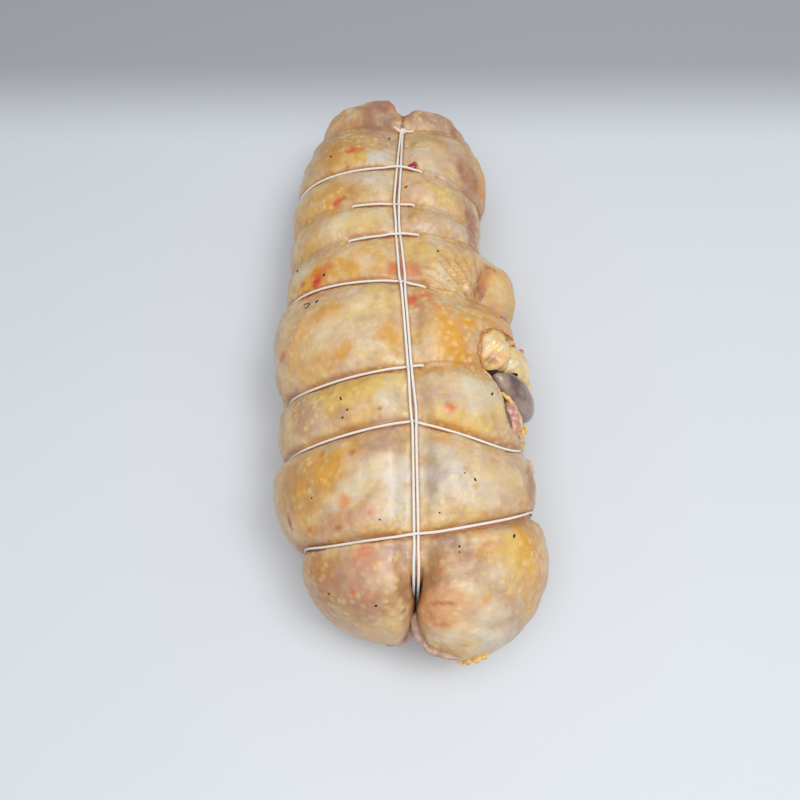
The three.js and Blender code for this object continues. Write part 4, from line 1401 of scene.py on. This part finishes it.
class RoastSkin(bpy.types.PropertyGroup):
    follicle_spacing: FloatProperty(
        name="Follicle spacing", description="Distance between feather follicles", default=0.0039,
        unit="LENGTH"
    )
    follicle_height: FloatProperty(
        name="Follicle height", description="How far a follicle stands up", default=0.0003,
        unit="LENGTH"
    )
    gloss: FloatProperty(
        name="Wettest roughness", description="Roughness where the skin is wettest", default=0.33,
        subtype="FACTOR"
    )
    columns: IntProperty(
        name="Columns", description="Columns of the grid over the top, 4n + 1", default=193
    )


class RoastString(bpy.types.PropertyGroup):
    diameter: FloatProperty(
        name="Diameter", description="Diameter of the cotton string", default=0.0011, unit="LENGTH"
    )
    plies: IntProperty(
        name="Plies", description="Strands twisted together in the string", default=3, min=2, max=6
    )
    lay: FloatProperty(
        name="Lay", description="Length in which a ply goes round once", default=0.0055,
        unit="LENGTH"
    )
    colour: FloatVectorProperty(
        name="Colour", description="Colour of dry string", default=(
            0.93, 0.9, 0.84, 1
        ), size=4, subtype="COLOR"
    )


class RoastFlesh(bpy.types.PropertyGroup):
    lobule: FloatProperty(
        name="Lobule size", description="Size of the swells of the fat", default=0.0042,
        unit="LENGTH"
    )


class RoastStage(bpy.types.PropertyGroup):
    floor_colour: FloatVectorProperty(
        name="Floor", description="Colour of the board", default=(
            0.66, 0.69, 0.73, 1
        ), size=4, subtype="COLOR"
    )
    ceiling_power: FloatProperty(
        name="Ceiling light", description="Power of the wide soft light overhead", default=5.9,
        unit="POWER"
    )
    key_power: FloatProperty(
        name="Key light", description="Power of the smaller light on the right", default=5.2,
        unit="POWER"
    )
    fill: FloatProperty(
        name="Fill", description="Strength of the light from all round", default=0.42
    )


# ---- Operators -------------------------------------------------------------------------


class ROAST_OT_stage(bpy.types.Operator):
    """Make the pale board, the soft lights and the camera"""

    bl_idname = "roast.stage"
    bl_label = "Stage"

    def execute(self, context):
        look = context.scene.roast_stage
        mesh = bpy.data.meshes.new("board")
        grid = np.linspace(-2.2, 2.2, 9)
        x, y = np.meshgrid(grid, grid)
        corners = np.stack([x.ravel(), y.ravel(), np.full(x.size, -0.0002)], -1)
        ids = np.arange(x.size).reshape(x.shape)
        faces = quads(ids[:-1, :-1], ids[:-1, 1:], ids[1:, 1:], ids[1:, :-1])
        mesh.from_pydata(corners.tolist(), [], faces)
        colour = tuple(look.floor_colour)
        finish = Finish("pale board")
        far = finish.node("ShaderNodeSeparateXYZ", Vector=finish.place)["Y"]
        duller, shaded = ((*[c * level for c in colour[:3]], 1) for level in (0.97, 0.55))
        cloud = finish.remap(finish.noise(3, 3, 0.5), 0.35, 0.7)
        cloud = finish.blend(cloud, colour, duller)
        shade = finish.remap(far, 0.15, 0.23, 0, 1)
        finish.set(Base_Color=finish.blend(shade, cloud, shaded), Roughness=0.55)
        mesh.materials.append(finish.material)
        board = bpy.data.objects.new("board", mesh)
        context.scene.collection.objects.link(board)

        world = bpy.data.worlds.new("soft room")
        world.use_nodes = True
        world.node_tree.nodes["Background"].inputs["Color"].default_value = (0.93, 0.96, 1.0, 1)
        world.node_tree.nodes["Background"].inputs["Strength"].default_value = look.fill
        context.scene.world = world
        self.lamp(
            context, "ceiling light", (-0.02, -0.34, 0.92), (0, 0.28, -1), 1.0, look.ceiling_power
        )
        self.lamp(context, "key light", (0.55, -0.2, 1.2), (-0.5, 0.15, -1.2), 0.5, look.key_power)
        context.scene.view_settings.view_transform = "Standard"

        camera = bpy.data.cameras.new("camera")
        camera.lens, camera.sensor_width = 33.75, 36
        camera.clip_start, camera.clip_end = 0.01, 20
        eye = bpy.data.objects.new("camera", camera)
        eye.location = (-0.0015, -0.184, 0.34)
        eye.rotation_euler = (math.radians(26), 0, 0)
        context.scene.collection.objects.link(eye)
        context.scene.camera = eye
        return {"FINISHED"}

    def lamp(self, context, name, place, way, size, power):
        """A square area light at a place, facing along `way`."""
        light = bpy.data.lights.new(name, "AREA")
        light.shape, light.size, light.energy = "SQUARE", size, power
        lamp = bpy.data.objects.new(name, light)
        lamp.location = place
        lamp.rotation_euler = Vector(way).to_track_quat("-Z", "Y").to_euler()
        context.scene.collection.objects.link(lamp)


class ROAST_OT_skin(bpy.types.Operator):
    """Make the stuffed roll in its skin"""

    bl_idname = "roast.skin"
    bl_label = "Skin"

    def execute(self, context):
        look = context.scene.roast_skin
        points, faces, fold, normals = skin_surface(look.columns)
        colours = skin_colours(points, normals, fold)
        values = {"tint": colours}
        make_piece("skin", points, faces, ["stuffed_roll"], values, skin_finish(look))
        return {"FINISHED"}


class ROAST_OT_string(bpy.types.Operator):
    """Make the eight loops, the two lengthwise strands and the knot"""

    bl_idname = "roast.string"
    bl_label = "String"

    def execute(self, context):
        look = context.scene.roast_string
        finish = string_finish(look)
        radius, lay = look.diameter * 500, look.lay * 1000
        for index in range(1, LAST + 1):
            line = loop_line(index)
            parts = tube(line, radius, STRING_SIDES, True, np.array([0, 1.0, 0]), look.plies, lay)
            self.add(f"string_round_{index}", parts, f"string_loop_{index}", finish)
        for name, side in (("left", -1), ("right", 1)):
            parts = tube(
                strand_line(side), radius, STRING_SIDES, True, np.array([1.0, 0, 0]), look.plies,
                lay,
            )
            self.add(f"string_along_{name}", parts, f"string_strand_{name}", finish)
        self.add("string_tie", self.knot(radius, look.plies, lay), "string_knot", finish)
        return {"FINISHED"}

    def add(self, name, parts, node, finish):
        """One string, in place of its solid."""
        points, faces, ply = parts
        make_piece(name, points, faces, [node], {"ply": ply}, finish)

    def knot(self, radius, plies, lay):
        """An overhand knot: the trefoil (sin t + 2 sin 2t, cos t − 2 cos 2t, −sin 3t),
        flattened, with a tail at each end of it."""
        low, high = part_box("string_knot")
        middle = np.array([RIBS[1, CREASE], RIBS[1, TOP] - 2.2, (low[2] + high[2]) * 500 - 2.4])
        t = np.linspace(0.5, 2 * np.pi - 0.35, 70)
        turns = np.stack(
            [np.sin(t) + 2 * np.sin(2 * t), np.cos(t) - 2 * np.cos(2 * t), -np.sin(3 * t)], -1
        )
        turns = turns * (0.62, 0.55, 0.6)
        first = np.array([(-4, 3.2, 0.4), (-3.2, 2.1, 0.4), (-2.3, 1.1, 0.5)])
        last = np.array([(2.6, -0.1, 0.3), (4, 0.1, 0), (5.8, 0.4, 0.2)])
        line = smooth_line(np.vstack([first, turns[::5], last]), 150) + middle
        reference = np.array([0.21, 0.13, 0.97])
        return tube(line, radius * 0.92, STRING_SIDES, False, reference, plies, lay)


class ROAST_OT_flesh(bpy.types.Operator):
    """Make the fat and the muscle where the skin gapes on the right"""

    bl_idname = "roast.flesh"
    bl_label = "Bare flesh"

    def execute(self, context):
        size = context.scene.roast_flesh.lobule * 1000
        fat = flesh_finish("creamy fat", "ochre", "yellow", "pale", (1, 1, 1), 0.3)
        muscle = flesh_finish("dark muscle", "flesh", "flesh", "fascia", (0.4, 1.6, 1), 0.22)
        pink = flesh_finish("pink muscle", "purple", "rose", "pale", (1.8, 0.35, 1), 0.26)

        pad = lump((37, -19.8, 55.8), (8.8, 10.6, 6.8), 18, 1.3 * size, 0.22, 51)
        knob = lump((41, -23.5, 52), (5, 5, 5), 0, 1.5 * size, 0.15, 55, 40, 28)
        self.add("fat_pad", [pad, knob], ("yellow", "cream", "peach"), "fat", "fat_lump", fat)

        path = [(44, -18.5, 52), (48, -20.5, 46.5), (51.5, -22, 40), (53, -24, 31)]
        slab = swept(path, (4, 8, 9.5, 6), (3.5, 5.5, 5.8, 5), 0.16, 1.5 * size, 52, 0.4, 56)
        lobes = [
            lump((48.6, -18.6, 41), (7, 6, 9), -15, 1.5 * size, 0.2, 56, 48, 32),
            lump((54.5, -26.5, 34), (3.6, 5, 7), 0, 1.5 * size, 0.2, 57, 40, 28),
            lump((46.4, -23, 48.8), (5, 4.4, 4.4), 20, 1.5 * size, 0.2, 58, 40, 28),
        ]
        self.add("fat_fold", [slab, *lobes], ("yellow", "pale", "pale"), "fat", "side_fat", fat)

        path = [
            (38.5, -31.6, 56), (43.5, -33.5, 51), (49.4, -35.4, 44), (53.4, -37, 35),
            (54.4, -39, 27),
        ]
        thigh = swept(path, (1.5, 5.4, 8.8, 8.2, 5), (2, 3.6, 5.4, 5.8, 4), 0.18, 8, 53, 0.35, 72)
        self.add("thigh", [thigh], ("flesh", "purple", "fascia"), "muscle", "thigh_muscle", muscle)

        path = [(43.6, -41, 50.5), (44.6, -47, 48.5), (45.6, -52.5, 46.5), (46, -57, 44)]
        strip = swept(path, (1.6, 3.4, 4, 3), (3, 4.6, 4.6, 3), 0.22, 4, 54, 0.35, 48)
        back = lump((46, -46, 40), (5.5, 11, 8), 8, 6, 0.2, 59, 64, 40)
        self.add(
            "strip", [strip, back], ("purple", "purple", "rose"), "muscle_pink", "muscle_strip",
            pink,
        )
        return {"FINISHED"}

    def add(self, name, parts, colours, slot, node, finish):
        """Some parts as one piece, tinted with three colours in noise and its marks."""
        points, faces, fine = joined(parts)
        base, deep, light = (LINEAR[c] for c in colours)
        tint = mix(base, deep, 0.8 * eased(waves(points, 9, len(name)))[:, None])
        tint = mix(tint, light, 0.8 * eased(fine)[:, None])
        if slot == "muscle":  # the sinew's sheath pales it towards the tail
            sheath = eased((-points[:, 1] - 36 + 0.5 * (46 - points[:, 2])) / 9)
            sheath = np.maximum(
                sheath, 0.8 * eased((47.5 - points[:, 0] + waves(points, 5, 3)) / 5)
            )[:, None]
            tint = mix(tint, LINEAR["fascia"] * 0.85, 0.85 * sheath)
        paint(points, FLESH_MARKS[name], 0.8, 0.14, 1.2, tint, 700)
        make_piece(name, points, faces, [node], {"tint": tint}, finish)


class ROAST_OT_edges(bpy.types.Operator):
    """Make the cut edges of the skin, the lines of fat beside them and the drops"""

    bl_idname = "roast.edges"
    bl_label = "Edges and drops"

    def execute(self, context):
        cut = flesh_finish("cut skin edge", "rust", "ochre", "cream", (1, 1, 1), 0.32)
        fat = flesh_finish("yellow fat", "golden", "yellow", "pale", (1, 1, 1), 0.3)
        inner = flesh_finish("inner skin", "brown", "grey mauve", "cream", (1, 1, 1), 0.34)
        torn = flesh_finish("torn skin", "blood", "scarlet", "rose", (1, 1, 1), 0.3)

        rim = [
            (33, -30.4), (32.2, -27.8), (31.8, -25), (32.3, -21), (33.4, -17), (36.4, -13.4),
            (40.8, -10.8), (44.8, -9.4),
        ]
        far = swept(
            [on_skin(p, 0.1)[0] for p in rim], (0.5, 0.75, 0.6, 0.5), (0.6, 0.85, 0.7, 0.5), 0.16,
            2.2, 81, 0.35, 16,
        )
        rim = [(43.8, -9.6, 54), (48.2, -8.4, 50), (52.4, -9.8, 45.5), (55, -12.6, 41)]
        brim = swept(
            [on_skin(p, 0)[0] for p in rim], (0.5, 0.7, 0.5), (0.5, 0.7, 0.5), 0.14, 2.2, 92, 0.35,
            12,
        )
        strap = swept(
            [(43.6, -16, 54), (46.5, -14.2, 52), (49.4, -12, 49.4)], (0.9, 1.3, 0.9),
            (0.9, 1.2, 0.9), 0.2, 2.4, 82, 0.35, 12,
        )
        rim = [
            (32.4, -32), (36, -35), (38.3, -38), (39.8, -41.5), (40.9, -47), (41.5, -52), (42, -57)
        ]
        near = swept(
            [on_skin(p, 0.1)[0] for p in rim], (0.6, 0.8, 0.7), (0.7, 0.9, 0.8), 0.12, 3, 83, 0.35,
            12,
        )
        self.add("cut_edge", [far, brim], "rust", "orange", "ochre", cut)
        self.add("fat_strap", [strap], "golden", "yellow", "ochre", fat)
        self.add("near_edge", [near], "cream", "pale", "tan", cut)

        thread = swept(
            [
                (41.4, -39.4, 54), (44.6, -41.6, 52.6), (47.2, -43.9, 50), (49.2, -47.5, 47.4),
                (50.8, -51, 44.4), (51.8, -55, 41.6),
            ],
            (1.1, 1.5, 1.4, 1.1), (0.9, 1.2, 1.2, 1), 0.2, 3, 84, 0.3, 16,
        )
        curl = swept(
            [(51.6, -50, 42.5), (53, -50, 41.5), (53.2, -52, 40.5), (51.8, -52.4, 41.5)],
            (0.6, 0.7, 0.6), (0.6, 0.7, 0.6), 0.1, 2, 85, 0.25, 12,
        )
        loops = [
            swept(
                [
                    (46.4, -57.5, 45.5), (48, -54.5, 45), (50, -55.5, 42.5), (50, -58.5, 41),
                    (48, -60, 41.5),
                ],
                (1.2, 1.5, 1.1), (1.2, 1.5, 1.1), 0.2, 2.5, 86, 0.3, 14,
            ),
            lump((49.4, -56.5, 38), (3.2, 4.5, 5.6), 0, 3, 0.25, 87, 40, 28),
            lump(on_skin((57, -64.5, 33))[0], (1.8, 3.4, 3.4), 20, 2.5, 0.3, 93, 32, 22),
        ]
        self.add("fat_line", [thread, curl], "yellow", "golden", "yellow", fat)
        self.add("fat_loops", loops, "peach", "cream", "rose", fat)
        tag = lump((53.2, -13.8, 42.4), (1.3, 1.8, 1.8), 0, 2, 0.2, 88, 20, 14)
        self.add("red_tag", [tag], "scarlet", "blood", "rose", torn)

        fringe = [(21.5, -142.8, 26), (25, -143, 27), (29, -142.5, 28), (33, -141, 29)]
        fringe = swept(
            [on_skin(p, 0.3)[0] for p in fringe], (0.9, 1.6, 1.5, 0.8), (0.8, 1.2, 1.1, 0.8), 0.36,
            2.6, 89, 0.35, 18,
        )
        self.add("fat_fringe", [fringe], "golden", "yellow", "ochre", fat)
        roll = [
            (6.4, -129, 40), (7.4, -131.5, 37.5), (9.6, -134.6, 34), (13, -137.4, 32),
            (17.5, -139.4, 33), (22.5, -140.8, 34),
        ]
        roll = swept(
            [on_skin(p, -0.2)[0] for p in roll], (1.8, 3.4, 3.1, 1.8), (1.2, 1.8, 1.5, 0.8), 0.15,
            6, 90, 0.35, 24,
        )
        lip = [(-7, -134.5, 24), (-4, -133, 26), (-2, -130, 30), (-1.2, -126, 33)]
        lip = swept(
            [on_skin(p, 0.2)[0] for p in lip], (1.3, 1.9, 1.4), (0.8, 1.3, 1), 0.14, 5, 91, 0.35, 18
        )
        self.add("rolled_edge", [roll, lip], "grey mauve", "tan", "mauve", inner)

        wet = Finish("fresh blood")
        wet.set(Base_Color=rgba("blood"), Roughness=0.08)
        wet.shader.inputs["Coat Weight"].default_value = 1.0
        drops = [
            self.bead(4.2, 78.9, 2.2, 1.6, 0.9, 10), self.bead(1.5, 63.8, 0.8, 0.7, 0.4, 0),
            self.bead(5.4, 80.4, 1.1, 0.9, 0.7, 0),
        ]
        points, faces, _ = joined(drops)
        make_piece("blood_drops", points, faces, (), None, wet.material)
        return {"FINISHED"}

    def bead(self, x, y, long, wide, high, turn):
        """A flattened drop lying on the skin."""
        points, faces = ball(20, 14)
        place, normal = on_skin((x, y))
        c, s = math.cos(math.radians(turn)), math.sin(math.radians(turn))
        side = np.cross(normal, (-s, c, 0))
        side /= np.linalg.norm(side)
        axes = np.stack([side * long, np.cross(normal, side) * wide, normal * high])
        return points @ axes + place, faces, np.ones(len(points))

    def add(self, name, parts, base, deep, light, finish):
        """Some parts as one piece, tinted with three colours in noise."""
        points, faces, fine = joined(parts)
        tint = mix(LINEAR[base], LINEAR[deep], eased(waves(points, 3.5, len(name)))[:, None])
        tint = mix(tint, LINEAR[light], 0.8 * eased(fine)[:, None])
        make_piece(
            name, points, faces, (), {"tint": tint}, finish
        )


class ROAST_OT_quills(bpy.types.Operator):
    """Make the stubs of pin feathers, one curled hair and dark blobs of painted shade in the gaps
    beside the muscle
    """

    bl_idname = "roast.quills"
    bl_label = "Pin feathers and shade"

    def execute(self, context):
        points, faces = ball(16, 10)
        # painted shade: dark blobs in the gaps between the fat and the muscle
        parts = [(points * half + place, faces, np.ones(len(points))) for half, place in SHADE_BLOBS]
        for x, y, long, wide, turn in QUILLS:
            place, normal = on_skin((x, y), 0.05)
            points, faces = ball(8, 6)
            turned = math.radians(turn)
            way = np.array([math.cos(turned), math.sin(turned), 0])
            way = way - (way @ normal) * normal
            way /= np.linalg.norm(way)
            axes = np.stack([way * long / 2, np.cross(normal, way) * wide / 2, normal * 0.28])
            parts.append((points @ axes + place, faces, np.ones(len(points))))
        hair = [
            on_skin(p, 0.25)[0] for p in (
                (-44.5, 0.4), (-43, 1.2), (-41.4, 0.6), (-41.2, -1.2), (-42.4, -1.8), (-43, -0.8)
            )
        ]
        parts.append(swept(hair, (0.16, 0.16), (0.16, 0.16), 0, 3, 1, 0.3, 6))
        points, faces, _ = joined(parts)
        # one dark finish for the quills and for the blobs of painted shade
        dark = plain_finish(
            "quill_and_shade", (0.008, 0.005, 0.004, 1), 0.85, 400, 0.03, (0.03, 0.014, 0.01, 1)
        )
        make_piece("pin_feathers_and_shade", points, faces, (), None, dark)
        return {"FINISHED"}


PIECES = (
    ROAST_OT_stage, ROAST_OT_skin, ROAST_OT_string, ROAST_OT_flesh, ROAST_OT_edges, ROAST_OT_quills
)
GROUPS = {
    "roast_skin": RoastSkin,
    "roast_string": RoastString,
    "roast_flesh": RoastFlesh,
    "roast_stage": RoastStage,
}


class ROAST_PT_panel(bpy.types.Panel):
    """The roast's sizes, and a button for each of its pieces"""

    bl_idname = "ROAST_PT_panel"
    bl_label = "Stuffed roast"
    bl_space_type = "VIEW_3D"
    bl_region_type = "UI"
    bl_category = "Roast"

    def draw(self, context):
        for name, group in GROUPS.items():
            box = self.layout.box()
            for field in group.__annotations__:
                box.prop(getattr(context.scene, name), field)
        for piece in PIECES:
            self.layout.operator(piece.bl_idname)


def register():
    for kind in (*GROUPS.values(), *PIECES, ROAST_PT_panel):
        bpy.utils.register_class(kind)
    for name, group in GROUPS.items():
        setattr(bpy.types.Scene, name, PointerProperty(type=group))


def unregister():
    for name in GROUPS:
        delattr(bpy.types.Scene, name)
    for kind in reversed((*GROUPS.values(), *PIECES, ROAST_PT_panel)):
        bpy.utils.unregister_class(kind)


def main():
    register()
    for piece in PIECES:
        group, name = piece.bl_idname.split(".")
        getattr(getattr(bpy.ops, group), name)()
    bpy.context.view_layer.update()


if __name__ == "__main__":
    main()
